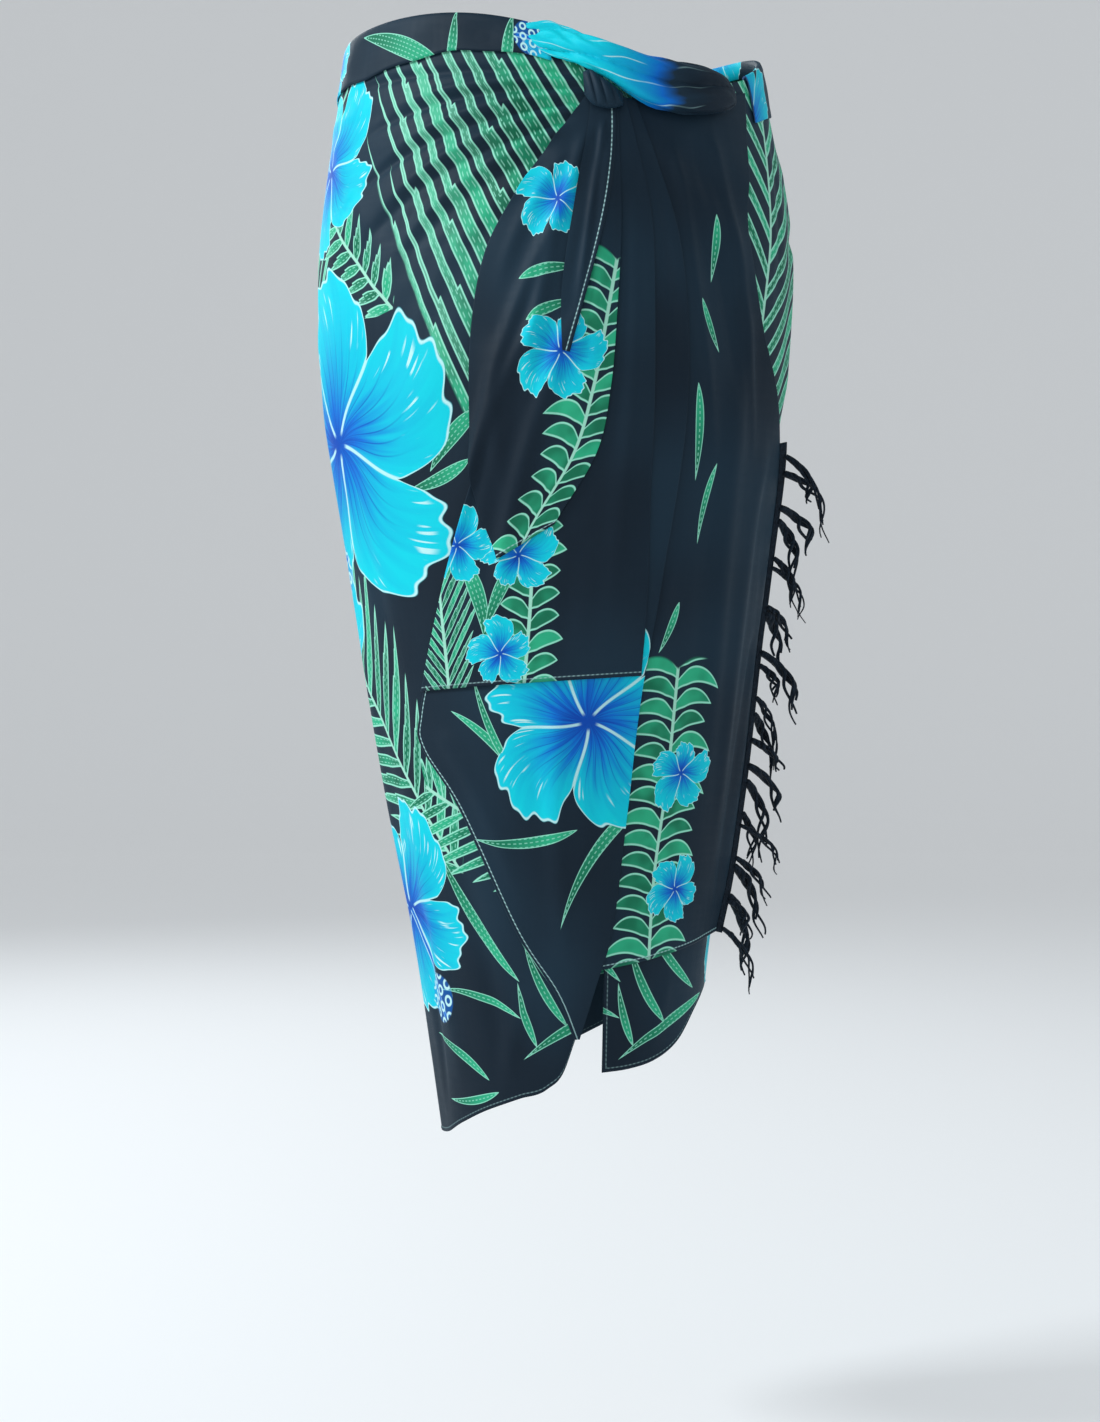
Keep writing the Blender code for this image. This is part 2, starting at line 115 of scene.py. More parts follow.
# Pleats that run from the knot: the angle from straight down, the ridge's height and half width, and how far
# from the knot it fades out.
Pleat = namedtuple("Pleat", "angle rise half_angle reach")
FRONT_PLEATS = table(Pleat, (
    (-80, 3, 6, 200), (-64, 3.8, 6.5, 280), (-47, 3.8, 7, 340), (-29, 3, 7, 420),
))
SIDE_PLEATS = table(Pleat, ((20, 3.4, 6, 620), (38, 4.4, 6.5, 460), (61, 3.4, 8, 260)))
LONG_PLEATS = table(Pleat, ((-7, 2.4, 6, 750), (7, 2.4, 5.5, 700)))
SHORT_PLEATS = table(Pleat, ((-14, 2.4, 6, 500), (1, 2.4, 6, 460)))
WIDE_PLEATS = table(Pleat, ((-19, 2.8, 7, 340), (-3, 2.2, 6.5, 300)))
NARROW_PLEATS = table(Pleat, ((-8, 1.8, 6, 220),))

# Upright folds that open out towards the hem, round the back and the right side.
Fold = namedtuple("Fold", "turn rise half_angle")
SKIRT_FOLDS = table(Fold, (
    (118, 3.5, 8), (141, 4.5, 9), (166, 3.5, 8), (190, 4.5, 9), (214, 3.5, 8), (238, 4, 9), (262, 3, 8),
    (287, 3.5, 9),
))

# Creases: from one place to another, bowed sideways, with a rise (a trough where it is less than nothing) and
# a half width. Each layer's creases show in the layers over it.
Crease = namedtuple("Crease", "turn height to_turn to_height bow rise half_width")
WRAP_CREASES = table(Crease, (
    (25, -40, -58, -26, 6, -2.6, 3), (25, -44, -34, -50, 7, 2.8, 3.4), (25, -48, -46, -70, 10, -3, 3.4),
    (24, -52, -30, -84, 9, 3.2, 3.8), (24, -57, -50, -122, 14, -3.2, 4),
    (23, -62, -28, -120, 10, 3.4, 4.4), (22, -68, -42, -166, 16, -3, 5),
    (20, -76, -26, -162, 12, 3.2, 5.2), (17, -86, -36, -220, 16, -2.8, 6.4),
    (12, -104, -22, -236, 12, 2.4, 7), (-62, -50, -20, -200, -12, 1.4, 9),
    (-150, -60, -70, -150, 14, 1.8, 7), (-140, -90, -64, -230, 18, -2, 8),
    (-175, -120, -96, -300, 18, 3.1, 10), (150, -90, 84, -170, 12, -2.8, 7),
    (165, -150, 92, -270, 16, 3.1, 9), (-70, -180, -30, -420, 14, 1.6, 11),
    (-52, -300, -38, -600, -8, -1.8, 9), (-64, -420, -58, -760, 6, 2.4, 11),
    (-40, -560, -30, -780, 10, 2.2, 10), (-22, -600, -12, -770, -8, -2, 8),
    (-80, -520, -84, -800, 4, -2.2, 9), (-46, -640, -50, -805, 4, -2, 7), (4, -700, -8, -772, 4, 1.8, 7),
    (-100, -60, -60, -330, 12, 1.4, 12), (-118, -100, -92, -480, -10, -2.8, 11),
    (-132, -300, -122, -790, 8, 3.7, 13), (-152, -80, -160, -520, -10, 2.8, 12),
    (-168, -420, -172, -770, 6, -3.7, 11), (175, -100, 168, -600, 10, -2.8, 11),
    (158, -360, 150, -715, -6, 3.4, 11), (140, -60, 126, -420, 14, -2.5, 10),
    (124, -300, 116, -690, 8, 3.4, 11), (104, -60, 96, -300, -10, 2.5, 9),
    (92, -60, 84, -220, 8, -1.4, 6), (100, -420, 96, -690, 6, -3.1, 9),
    (-108, -160, -128, -300, -12, 3, 7.5), (178, -52, 120, -190, 18, 3, 8),
    (-150, -440, -118, -560, 16, -2.8, 9), (150, -300, 108, -430, 18, 2.8, 9),
    (64, -690, 58, -745, 4, 1.6, 7), (-90, -40, 0, -34, 4, 0.8, 6), (-175, -40, -100, -60, 6, 1, 8),
    (110, -50, 176, -55, -6, 1, 8),
))
FRINGED_CREASES = table(Crease, (
    (37, -80, 50, -300, 4, -0.8, 4), (44, -75, 62, -340, 6, 2.2, 4.8), (50, -70, 70, -300, 8, -0.8, 4.2),
    (56, -70, 78, -330, 6, 2.4, 5), (66, -180, 76, -560, 8, 3, 9), (58, -240, 60, -640, -6, -0.8, 8),
    (82, -280, 88, -640, 8, 3, 9), (94, -340, 97, -640, -6, -0.8, 8), (48, -380, 47, -670, 4, 2, 7),
))
LONG_CREASES = table(Crease, (
    (24, -120, -10, -470, 10, 1.6, 7), (-22, -500, 4, -640, -6, 1.6, 7), (18, -480, 20, -690, 6, 2.2, 8),
    (32, -480, 30, -640, 4, -0.6, 6), (6, -500, 12, -640, -6, -0.6, 7),
))
SHORT_CREASES = table(Crease, (
    (19, -120, -12, -440, 10, 3, 4.8), (14, -200, -19, -470, 8, 2.6, 4.6), (22, -200, -3, -470, 6, 3, 6),
    (33, -100, 31, -460, -4, 2.2, 8), (24, -360, 20, -470, 4, -0.6, 6),
))
WIDE_CREASES = table(Crease, (
    (24, -75, 9, -300, 8, 2.4, 4.6), (26, -80, 17, -330, 6, -0.6, 4), (29, -80, 25, -280, 4, 1.8, 4.4),
    (20, -90, 3, -200, 8, 1.6, 5), (2, -220, 6, -360, 4, 1.2, 6),
))
NARROW_CREASES = table(Crease, ((28, -70, 21, -220, 3, 1.8, 2.4), (26, -75, 22.5, -170, -2, -0.5, 2.2)))

# Each fall of cloth, row by row from the knot down: where its left and right edges are.
Row = namedtuple("Row", "left_turn left_height right_turn right_height")
FRINGED_FALL = table(Row, (
    (31, -58, 74, -40), (33, -120, 67, -118), (35, -170, 67, -165), (37, -220, 73, -215),
    (38, -270, 86, -265), (38, -330, 102, -330), (38, -400, 108, -400), (37, -470, 110, -470),
    (35, -540, 109, -540), (31, -615, 104, -605), (30, -678, 97, -656),
))
LONG_FALL = table(Row, (
    (26, -56, 36, -56), (16, -150, 44, -150), (6, -250, 48, -240), (-6, -350, 48, -330),
    (-18, -430, 45, -410), (-29, -492, 42, -470), (-30, -516, 40.5, -510), (-17, -560, 39, -560),
    (0, -648, 35.5, -646), (14, -694, 29.5, -690), (21.2, -728, 23.5, -728),
))
SHORT_FALL = table(Row, (
    (24.5, -56, 33.5, -56), (13, -150, 37.5, -140), (5, -240, 39, -240), (-3.5, -324, 40, -320),
    (-16, -408, 41.5, -400), (-26.5, -475, 41, -464),
))
WIDE_TAIL = table(Row, (
    (24.6, -53, 31.6, -53), (14.5, -90, 31, -88), (7.5, -120, 30.6, -118), (0.5, -162, 30.3, -155),
    (-3, -224, 29.8, -205), (-3.8, -290, 28.8, -260), (-3.2, -335, 26, -308), (2.2, -381, 16.5, -357),
))
NARROW_TAIL = table(Row, (
    (25.4, -53, 31, -53), (23.5, -85, 30.2, -85), (21, -118, 28.6, -116), (18.8, -160, 25.8, -158),
    (17.6, -200, 22.8, -198), (18, -236, 19.6, -237),
))

# The turned-down waist: where it runs, how deep it hangs outside and inside, and how soon its end narrows.
BAND_TURNS = (77.0, 376.0)
BAND_DEEP = 0.038
BAND_INSIDE = 0.012
BAND_TAPER = 70.0

# The roll and the neck of the knot at each turn: the top's height, the tallness, and the lifts of the outer
# face and of the layers that it lies on.
Bulge = namedtuple("Bulge", "turn top tall outer stack")
ROLL = table(Bulge, (
    (9, 0.5, 12, 4.4, 3.7), (12.5, 1, 20, 5.6, 3.7), (16.2, 0, 25, 8.2, 3.7), (20, -5, 25, 11.5, 4),
    (23.5, -10, 25, 16.5, 5.5), (28, -16, 28, 22, 8), (33, -22, 33, 24, 8.5), (38, -27, 37, 24.5, 7.2),
    (44, -30, 38, 24, 6.2), (50, -31.5, 37, 23.5, 5.6), (56, -33, 33, 21, 5.5), (61, -36, 26, 17, 5.6),
    (65, -41, 15, 12, 5.8),
))
NECK = table(Bulge, (
    (23.6, -40, 16, 16.5, 11.8), (25, -38.6, 24, 20, 11.8), (27.5, -43.9, 22.5, 22.5, 11.8),
    (30.5, -50.4, 16, 21, 11.8), (32.4, -54.9, 9, 17, 11.8),
))

# The fringe: the share of the free edge where it starts, its strip, and its locks of twisted strands.
FRINGE_FROM = 0.44
EDGE_STATIONS = 160
STRIP_WIDE = 0.0050
STRIP_CURL = 52.0
LOCKS = 22
STRANDS_A_LOCK = 5
LOCK_LENGTH = 0.050
LOCK_SWINGS = (34.0, 84.0, 66.0, 50.0)
LOCK_SWELL = 0.0024
LOCK_FRAY = 0.0050
STRAND_OFF = 0.0010
STRAND_ROOT = 0.00150
STRAND_TAPER = 0.00110

# The print. The ground, the greens and mints of the leaves, and the blues of the flowers.
GROUND = (0.0085, 0.0260, 0.0450, 1.0)
# The darker ground below is also the painted shade along the rolled hems.
NIGHT = (0.0045, 0.0130, 0.0240, 1.0)
LEAF_DARK = (0.006, 0.150, 0.075, 1.0)
LEAF_BRIGHT = (0.025, 0.400, 0.210, 1.0)
MINT = (0.280, 0.700, 0.530, 1.0)
PALE = (0.480, 0.780, 0.780, 1.0)
DEEP_BLUE = (0.000, 0.060, 0.400, 1.0)
MID_BLUE = (0.000, 0.140, 0.560, 1.0)
SEA_BLUE = (0.000, 0.320, 0.600, 1.0)
CYAN = (0.000, 0.470, 0.640, 1.0)
BRIGHT_CYAN = (0.000, 0.580, 0.680, 1.0)

# What darkens the wrong side's copy of the print, the two colours of the yarn, and the even sheen of rayon.
WRONG_SIDE = (0.014, 0.030, 0.046, 1.0)
YARN_DARK = (0.003, 0.007, 0.013, 1.0)
YARN_LIGHT = (0.012, 0.022, 0.036, 1.0)
RAYON_SHEEN = dict(Weight=0.06, Roughness=0.40, Tint=(0.20, 0.50, 0.75, 1.0))

# The lengths of a stitch and of a weave repeat, and the print's repeat, which comes round a little more than
# twice on the hips and not again on a fall.
STITCH = 0.0034
THREAD = 0.0007
HIP_GIRTH = 1.026
REPEAT = 0.45
ZONES = 3
NO_REPEAT = 9.0


def column(rows, along, name, at):
    """Reads one named column of a table at any place, on a smooth curve through its rows."""
    x = np.array([getattr(row, along) for row in rows], float)
    y = np.array([getattr(row, name) for row in rows], float)
    slope = np.gradient(y, x)
    at = np.clip(at, x[0], x[-1])
    i = np.clip(np.searchsorted(x, at) - 1, 0, len(x) - 2)
    step = x[i + 1] - x[i]
    t = (at - x[i]) / step
    near = (2 * t**3 - 3 * t**2 + 1) * y[i] + (t**3 - 2 * t**2 + t) * step * slope[i]
    far = (3 * t**2 - 2 * t**3) * y[i + 1] + (t**3 - t**2) * step * slope[i + 1]
    return near + far


def smooth_step(value, low, high):
    t = np.clip((value - low) / (high - low), 0, 1)
    return t * t * (3 - 2 * t)


def body_size(name, height):
    """One measure of the oval form at a height."""
    return column(BODY, "height", name, height)


def body_point(turn, height):
    angle = np.radians(turn)
    depth = np.where(np.cos(angle) > 0, body_size("front", height), body_size("back", height))
    x = body_size("middle_x", height) + body_size("half_width", height) * np.sin(angle)
    y = body_size("middle_y", height) - depth * np.cos(angle)
    return np.stack([x, y, height + 0 * angle], -1)


def outward(turn, height):
    across = body_point(turn + 0.5, height) - body_point(turn - 0.5, height)
    up = body_point(turn, height + 0.002) - body_point(turn, height - 0.002)
    normal = np.cross(across, up)
    return normal / np.linalg.norm(normal, axis=-1, keepdims=True)


def place(turn, height, lift):
    turn, height, lift = np.broadcast_arrays(turn, height, lift)
    return body_point(turn, height) + outward(turn, height) * lift[..., None]


def girth_run(turn):
    """The distance round the hips from the front centre."""
    marks = np.arange(-120, 441, 1.0)
    points = body_point(marks, HIP_HEIGHT + 0 * marks)
    run = np.concatenate([[0], np.cumsum(np.linalg.norm(np.diff(points, axis=0), axis=1))])
    return np.interp(turn, marks, run - np.interp(0, marks, run))


def girth_share(height):
    """The girth at a height, as a share of the hips' girth."""
    girth = 2 * body_size("half_width", height) + body_size("front", height) + body_size("back", height)
    hips = next(row for row in BODY if row.height == HIP_HEIGHT)
    return girth / (2 * hips.half_width + hips.front + hips.back)


def waist_edge(turn):
    from_dip = (np.mod(turn - WAIST_DIP_TURN + 180, 360) - 180) / WAIST_DIP_WIDTH
    return WAIST_TOP - WAIST_DIP * np.exp(-(from_dip**2))


def pleats(rows, turn, height):
    """How far the pleats that run from the knot stand out."""
    sideways = np.radians(turn - KNOT_TURN) * PLEAT_RADIUS
    down = KNOT_HEIGHT - height
    distance, angle = np.hypot(sideways, down), np.degrees(np.arctan2(sideways, down))
    rise = 0 * distance
    for pleat in rows:
        ridge = np.exp(-(((angle - pleat.angle) / pleat.half_angle) ** 2))
        fading = 1 - smooth_step(distance, pleat.reach * 0.5, pleat.reach)
        rise = rise + pleat.rise * ridge * smooth_step(distance, 0.015, 0.160) * fading
    return rise


def creases(rows, turn, height):
    """How far the creases stand out, each along its bowed line and faded at both ends."""
    near_front = np.mod(turn + 180, 360) - 180
    rise = 0 * turn
    for row in rows:
        radius = CREASE_RADIUS * girth_share(0.5 * (row.height + row.to_height))
        dx = np.radians(row.to_turn - row.turn) * radius
        dz = row.to_height - row.height
        x, z = np.radians(near_front - row.turn) * radius, height - row.height
        length = math.hypot(dx, dz)
        share = (x * dx + z * dz) / length**2
        aside = (x * dz - z * dx) / length - row.bow * 4 * share * (1 - share)
        ends = smooth_step(share, 0.0, 0.10) * (1 - smooth_step(share, 0.60, 1.0))
        rise = rise + row.rise * ends * np.exp(-((aside / row.half_width) ** 2))
    return rise


def ground(turn, height):
    """Relief of the wrap itself."""
    near_front = np.mod(turn + 180, 360) - 180
    rise = pleats(FRONT_PLEATS, near_front, height)
    full_turn = np.mod(turn, 360)
    deep = smooth_step(-height, 0.06, 0.45)
    for fold in SKIRT_FOLDS:
        rise = rise + fold.rise * deep * np.exp(-(((full_turn - fold.turn) / fold.half_angle) ** 2))
    return rise + creases(WRAP_CREASES, turn, height)


def wrap_lift(turn, height):
    return ground(turn, height) + LAYER * smooth_step(turn, *OVERLAP_TURNS)


def side_relief(turn, height):
    return ground(turn, height) + pleats(SIDE_PLEATS, turn, height) + creases(FRINGED_CREASES, turn, height)


def fringed_lift(turn, height):
    levels = 2 - smooth_step(turn, 44, 62)
    flare = 0.007 * smooth_step(turn, 84, 106) * smooth_step(-height, 0.25, 0.40)
    return side_relief(turn, height) + LAYER * levels + flare


def long_lift(turn, height):
    levels = 2 + 1.12 * smooth_step(turn, 8, 26)
    own = pleats(LONG_PLEATS, turn, height) + creases(LONG_CREASES, turn, height)
    return side_relief(turn, height) + LAYER * levels + own


def short_lift(turn, height):
    own = pleats(SHORT_PLEATS, turn, height) + creases(SHORT_CREASES, turn, height)
    return long_lift(turn, height) + LAYER + own


def wide_lift(turn, height):
    own = pleats(WIDE_PLEATS, turn, height) + creases(WIDE_CREASES, turn, height)
    return short_lift(turn, height) + LAYER + own


def narrow_lift(turn, height):
    own = pleats(NARROW_PLEATS, turn, height) + creases(NARROW_CREASES, turn, height)
    return wide_lift(turn, height) + LAYER + own


def fine_ends(count, fine):
    """Stations from 0 to 1, with close ones in the first and last share, where the rolled hems are."""
    ends = np.linspace(0, fine, 5)[:-1]
    return np.concatenate([ends, np.linspace(fine, 1 - fine, count), 1 - ends[::-1]])


def run_along(points, axis):
    """The distance along the rows or columns of a grid of points."""
    steps = np.linalg.norm(np.diff(points, axis=axis), axis=-1)
    run = np.cumsum(steps, axis=axis)
    return np.concatenate([np.zeros_like(np.take(run, [0], axis=axis)), run], axis=axis)


def hem_map(points, left, right, bottom):
    """How far each point is from the nearest hemmed edge, and how far along that edge it is."""
    across, down = run_along(points, 1), run_along(points, 0)
    far = np.full(across.shape, FAR_FROM_HEM)
    choices = [(far, down)]
    if left:
        choices.append((across, down))
    if right:
        choices.append((across[:, -1:] - across, down))
    if bottom:
        choices.append((down[-1:, :] - down, across))
    distance = np.stack([choice[0] for choice in choices])
    run = np.stack([choice[1] for choice in choices])
    nearest = np.argmin(distance, axis=0)[None]
    return np.take_along_axis(distance, nearest, 0)[0], np.take_along_axis(run, nearest, 0)[0]


def new_object(name, data):
    made = bpy.data.objects.new(name, data)
    bpy.context.scene.collection.objects.link(made)
    return made


def new_mesh(name, points, faces, finish):
    """A smooth mesh with one finish, in the scene."""
    mesh = bpy.data.meshes.new(name)
    mesh.from_pydata(points.tolist(), [], faces)
    mesh.shade_smooth()
    mesh.materials.append(finish)
    return new_object(name, mesh)


def ring_quads(index):
    """The faces of a tube, from the numbers of its points, ring by ring."""
    after = np.roll(index, -1, axis=1)
    return np.stack([index[:-1], after[:-1], after[1:], index[1:]], -1).reshape(-1, 4)


def add_mesh(name, points, quads, maps, bake, finish):
    """A smooth mesh with named UV maps: each map is by point, and the bake map is by face corner."""
    made = new_mesh(name, points, quads.tolist(), finish)
    corners = quads.reshape(-1)
    by_corner = {map_name: values[corners] for map_name, values in maps.items()}
    for map_name, values in {**by_corner, "OFBake": bake}.items():
        layer = made.data.uv_layers.new(name=map_name)
        layer.data.foreach_set("uv", values.astype(np.float32).reshape(-1))
    return made


def cloth_sheet(name, turn, height, lift, print_xy, girth, hems, finishes):
    """A thin sheet of cloth with two sides and a rim, over a grid of places, with a finish for each zone."""
    rows, columns = turn.shape
    middle = place(turn, height, lift + WALL)
    from_hem, along_hem = hem_map(middle, *hems)
    roll = HEM_RISE * np.exp(-(((from_hem - HEM_MIDDLE) / HEM_WIDE) ** 2))
    outer = place(turn, height, lift + WALL + roll)
    inner = place(turn, height, lift + WALL - CLOTH - 0.3 * roll)
    points = np.concatenate([inner.reshape(-1, 3), outer.reshape(-1, 3)])

    index = np.arange(rows * columns).reshape(rows, columns)
    a, b, c, d = index[:-1, :-1], index[:-1, 1:], index[1:, 1:], index[1:, :-1]
    inside = np.stack([a, b, c, d], -1).reshape(-1, 4)
    outside = inside[:, ::-1] + rows * columns
    rim = np.concatenate([index[0, :], index[1:, -1], index[-1, -2::-1], index[-2:0:-1, 0]])
    after = np.roll(rim, -1)
    edge = np.stack([after, rim, rim + rows * columns, after + rows * columns], -1)
    quads = np.concatenate([inside, outside, edge])

    # The bake map has the outside on the left, the inside on the right and the rim in a strip below them.
    u, v = np.meshgrid(np.linspace(0, 1, columns), np.linspace(1, 0, rows))
    flat = np.stack([u, v], -1).reshape(-1, 2)
    inside_bake = flat[inside] * (0.28, 0.96) + (0.71, 0.03)
    outside_bake = flat[outside - rows * columns] * (0.69, 0.96) + (0.005, 0.03)
    step = np.arange(len(rim)) / len(rim)
    low, high = 0.004 + 0 * step, 0.016 + 0 * step
    edge_bake = np.stack(
        [np.stack([step + 1 / len(rim), low], -1), np.stack([step, low], -1),
         np.stack([step, high], -1), np.stack([step + 1 / len(rim), high], -1)], 1)
    bake = np.concatenate([inside_bake, outside_bake, edge_bake])

    def both(first, second):
        return np.concatenate([np.stack([first, second], -1).reshape(-1, 2)] * 2)

    maps = {"cloth": both(*print_xy), "hem": both(from_hem, along_hem)}
    side = both(girth, 0 * girth)
    side[rows * columns:, 1] = 1.0
    maps["girth"] = side
    made = add_mesh(name, points, quads, maps, bake, finishes[0])
    for finish in finishes[1:]:
        made.data.materials.append(finish)
    middles = maps["cloth"][quads][:, :, 0].mean(axis=1)
    zone = np.floor((np.mod(middles + REPEAT / 2, REPEAT) / REPEAT) * len(finishes)).astype(np.int32)
    made.data.polygons.foreach_set("material_index", np.clip(zone, 0, len(finishes) - 1))
    return made


def spaced(stops, counts):
    parts = [np.linspace(a, b, n, endpoint=False) for a, b, n in zip(stops, stops[1:], counts)]
    return np.concatenate([*parts, [stops[-1]]])


def make_wrap(finishes):
    start, last = WRAP_START_TURN, WRAP_LAST_TURN
    stations = spaced((start, start + HEM_TURNS, 110, 290, last - HEM_TURNS, last), (4, 50, 92, 118, 4))
    # The rows lie close near the waist, where the pleats run across them.
    rows = spaced((0, 0.008, 0.21, 0.992, 1), (4, 84, 62, 4))
    across, down = np.meshgrid((stations - start) / (last - start), rows)
    end = column(WRAP_FRONT, "share", "turn", down)
    turn = start + across * (end - start)
    hem_turn = start + across * (WRAP_HEM[-1].turn - start)
    top = waist_edge(turn) - LAYER
    height = top + (column(WRAP_HEM, "turn", "height", hem_turn) - top) * down
    # The front is the second lap, and the print is laid out from there.
    print_xy = girth_run(turn) - HIP_GIRTH, height
    return cloth_sheet("printed_wrap", turn, height, wrap_lift(turn, height), print_xy, girth_share(height),
                       (True, True, True), finishes)


def fall_column(rows, name, at):
    """Reads one column of a fall at any place between its first row, 0, and its last."""
    counted = [namedtuple("Counted", ("place", *Row._fields))(i, *row) for i, row in enumerate(rows)]
    return column(counted, "place", name, at)


def fall_grid(rows, columns, steps):
    down = (len(rows) - 1) * fine_ends(steps, 0.010)
    edge = {name: fall_column(rows, name, down)[:, None] for name in Row._fields}
    across = fine_ends(columns, 0.030)[None, :]
    turn = edge["left_turn"] + (edge["right_turn"] - edge["left_turn"]) * across
    height = edge["left_height"] + (edge["right_height"] - edge["left_height"]) * across
    return turn, height


def make_fall(name, rows, columns, steps, lift, print_from, hems, finish):
    """A fall of cloth. Its print is laid out from its left or right edge, or as on the wrap."""
    turn, height = fall_grid(rows, columns, steps)
    raised = lift(turn, height)
    girth = np.ones_like(turn)
    if print_from == "wrap":
        print_xy, girth = (girth_run(turn), height), girth_share(height)
    else:
        points = place(turn, height, raised)
        across = run_along(points, 1)
        if print_from == "right":
            across = across - across[:, -1:]
        print_xy = across, height
    return cloth_sheet(name, turn, height, raised, print_xy, girth, hems, [finish])


def ring_mesh(name, sections, print_xy, finish):
    """A closed tube through sections that have the same count of points."""
    count, around = len(sections), len(sections[0])
    points = np.concatenate(sections)
    quads = ring_quads(np.arange(count * around).reshape(count, around))
    turn = np.arange(around) / around
    u, v = np.meshgrid(turn, np.linspace(0.0, 0.96, count))
    start = np.stack([u, v], -1)[:-1].reshape(-1, 2)
    wide, tall = 0.96 / around, 0.96 / (count - 1)
    bake = start[:, None, :] * (0.96, 1.0) + 0.02
    bake = bake + np.array([(0, 0), (wide, 0), (wide, tall), (0, tall)])
    maps = {
        "cloth": np.stack(print_xy, -1).reshape(-1, 2),
        "hem": np.tile((FAR_FROM_HEM, 0.0), (len(points), 1)),
        "girth": np.tile((1.0, 1.0), (len(points), 1)),
    }
    made = add_mesh(name, points, quads, maps, bake, finish)
    close_ends(made.data, around, count)
    return made


def close_ends(mesh, around, count):
    """Fills both open ends of a tube."""
    edit = bmesh.new()
    edit.from_mesh(mesh)
    edit.verts.ensure_lookup_table()
    first = [edit.verts[i] for i in range(around)]
    last = [edit.verts[(count - 1) * around + i] for i in range(around)]
    for ends in (first[::-1], last):
        edit.faces.new(ends).smooth = True
    edit.to_mesh(mesh)
    edit.free()


def make_band(finish):
    """The turned-down waist: outside, over the fold and a little way in, with a rolled lower edge."""
    sections, xs, ys = [], [], []
    first, last = BAND_TURNS
    for turn in np.linspace(first, last, 300):
        edge = waist_edge(turn)
        taper = smooth_step(last - turn, -20, BAND_TAPER) * smooth_step(turn - first, -60, 25)
        low = edge - 0.020 - (BAND_DEEP - 0.020) * taper
        slack = 0.0008 * math.sin(turn * 0.19) + 0.0005 * math.sin(turn * 0.43 + 1)
        wave = 0.0012 * math.sin(turn * 0.11 + 0.5) + 0.0007 * math.sin(turn * 0.31)
        over = wrap_lift(turn, edge) + LAYER
        under = wrap_lift(turn, low) + LAYER
        inside = wrap_lift(turn, edge) - LAYER + WALL

        def outer_face(share):
            rest = under + (over - under) * share
            return rest + WALL, low + wave * (1 - share) + (edge - 0.004 - low) * share

        outline = []
        for share in np.linspace(0, 1, 14):
            lift, height = outer_face(share)
            hem = 0.0006 * math.exp(-(((share * 0.034 - 0.0014) / 0.0012) ** 2))
            outline.append((lift + hem + slack * math.sin(math.pi * share) + 0.0004 * share, height))
        outline += [
            (over + 0.9 * WALL, edge - 0.0015), (over + 0.4 * WALL, edge + 0.0003),
            (over - 0.4 * WALL, edge + 0.0009), (inside + 0.0002, edge + 0.0009),
            (inside - 0.7 * WALL, edge + 0.0002), (inside - WALL, edge - 0.0020),
            (inside - WALL, edge - BAND_INSIDE), (inside - WALL + CLOTH, edge - BAND_INSIDE),
            (inside - WALL + CLOTH, edge - 0.0022), (inside, edge - 0.0011), (over, edge - 0.0011),
        ]
        for share in np.linspace(1, 0, 8):
            lift, height = outer_face(share)
            outline.append((lift - CLOTH, height))
        lift, height = np.array(outline[::-1]).T
        sections.append(place(turn, height, lift))
        # The turned-down cloth shows what lies above the fold, so its print runs on upwards as it comes down.
        xs.append(np.full(len(lift), girth_run(turn) - HIP_GIRTH))
        ys.append(np.where(lift > over - WALL, 2 * edge - height, height))
    return ring_mesh("turned_down_waist", sections, (xs, ys), finish)


def swept_bulge(name, rows, stations, sides, shape, finish):
    """A closed swelling along a table of bulges. Its shape gives each section's heights, lifts and print."""
    around = np.linspace(0, 2 * math.pi, sides, endpoint=False)
    sections, xs, ys = [], [], []
    for turn in np.linspace(rows[0].turn, rows[-1].turn, stations):
        at = Bulge(*(column(rows, "turn", field, turn) for field in Bulge._fields))
        share = (turn - rows[0].turn) / (rows[-1].turn - rows[0].turn)
        height, lift, up = shape(at, share, around)
        sections.append(place(turn, height, lift))
        xs.append(np.full(sides, girth_run(turn)))
        ys.append(up)
    return ring_mesh(name, sections, (xs, ys), finish)


def roll_section(at, share, around):
    """The front end of the waist band, rolled up and twisted, and flat where it lies on the layers."""
    half_tall, half_thick = at.tall / 2, (at.outer - at.stack) / 2
    ends = smooth_step(share, 0.0, 0.06) * (1 - smooth_step(share, 0.94, 1.0))
    round_it = np.sign(np.sin(around)) * np.abs(np.sin(around)) ** 0.8
    twist = around + 2.6 * share + 0.5 * math.sin(5 * share)
    groove = np.abs(np.sin(2.0 * twist)) ** 0.45 + 0.35 * np.abs(np.sin(3.5 * twist + 1.3 + share)) ** 0.6
    groove = (groove - 1.05) * 0.0042 * ends
    relief = groove + 0.0007 * np.sin(7 * around - share * 22 + 2 * np.sin(share * 15)) * ends
    height = at.top - half_tall + (half_tall - 0.0006 + relief * 0.5) * np.cos(around)
    outer_relief = np.where(np.sin(around) > 0, relief, 0) * np.abs(np.sin(around))
    lift = (at.outer + at.stack) / 2 + half_thick * round_it + outer_relief
    return height, np.maximum(lift, at.stack + 0.0001), 0.02 * around + 0.9 * share * 0.02


def neck_section(at, share, around):
    """The pinched neck of the knot."""
    crease = 0.0022 * np.abs(np.sin(share * 13 + 1.1 * np.cos(around))) ** 0.6 - 0.0014
    half_thick = (at.outer - at.stack) / 2 + np.where(np.sin(around) > 0, crease, 0)
    height = at.top - at.tall * (0.5 - 0.49 * np.cos(around))
    return height, (at.outer + at.stack) / 2 + half_thick * np.sin(around), 0.004 * around


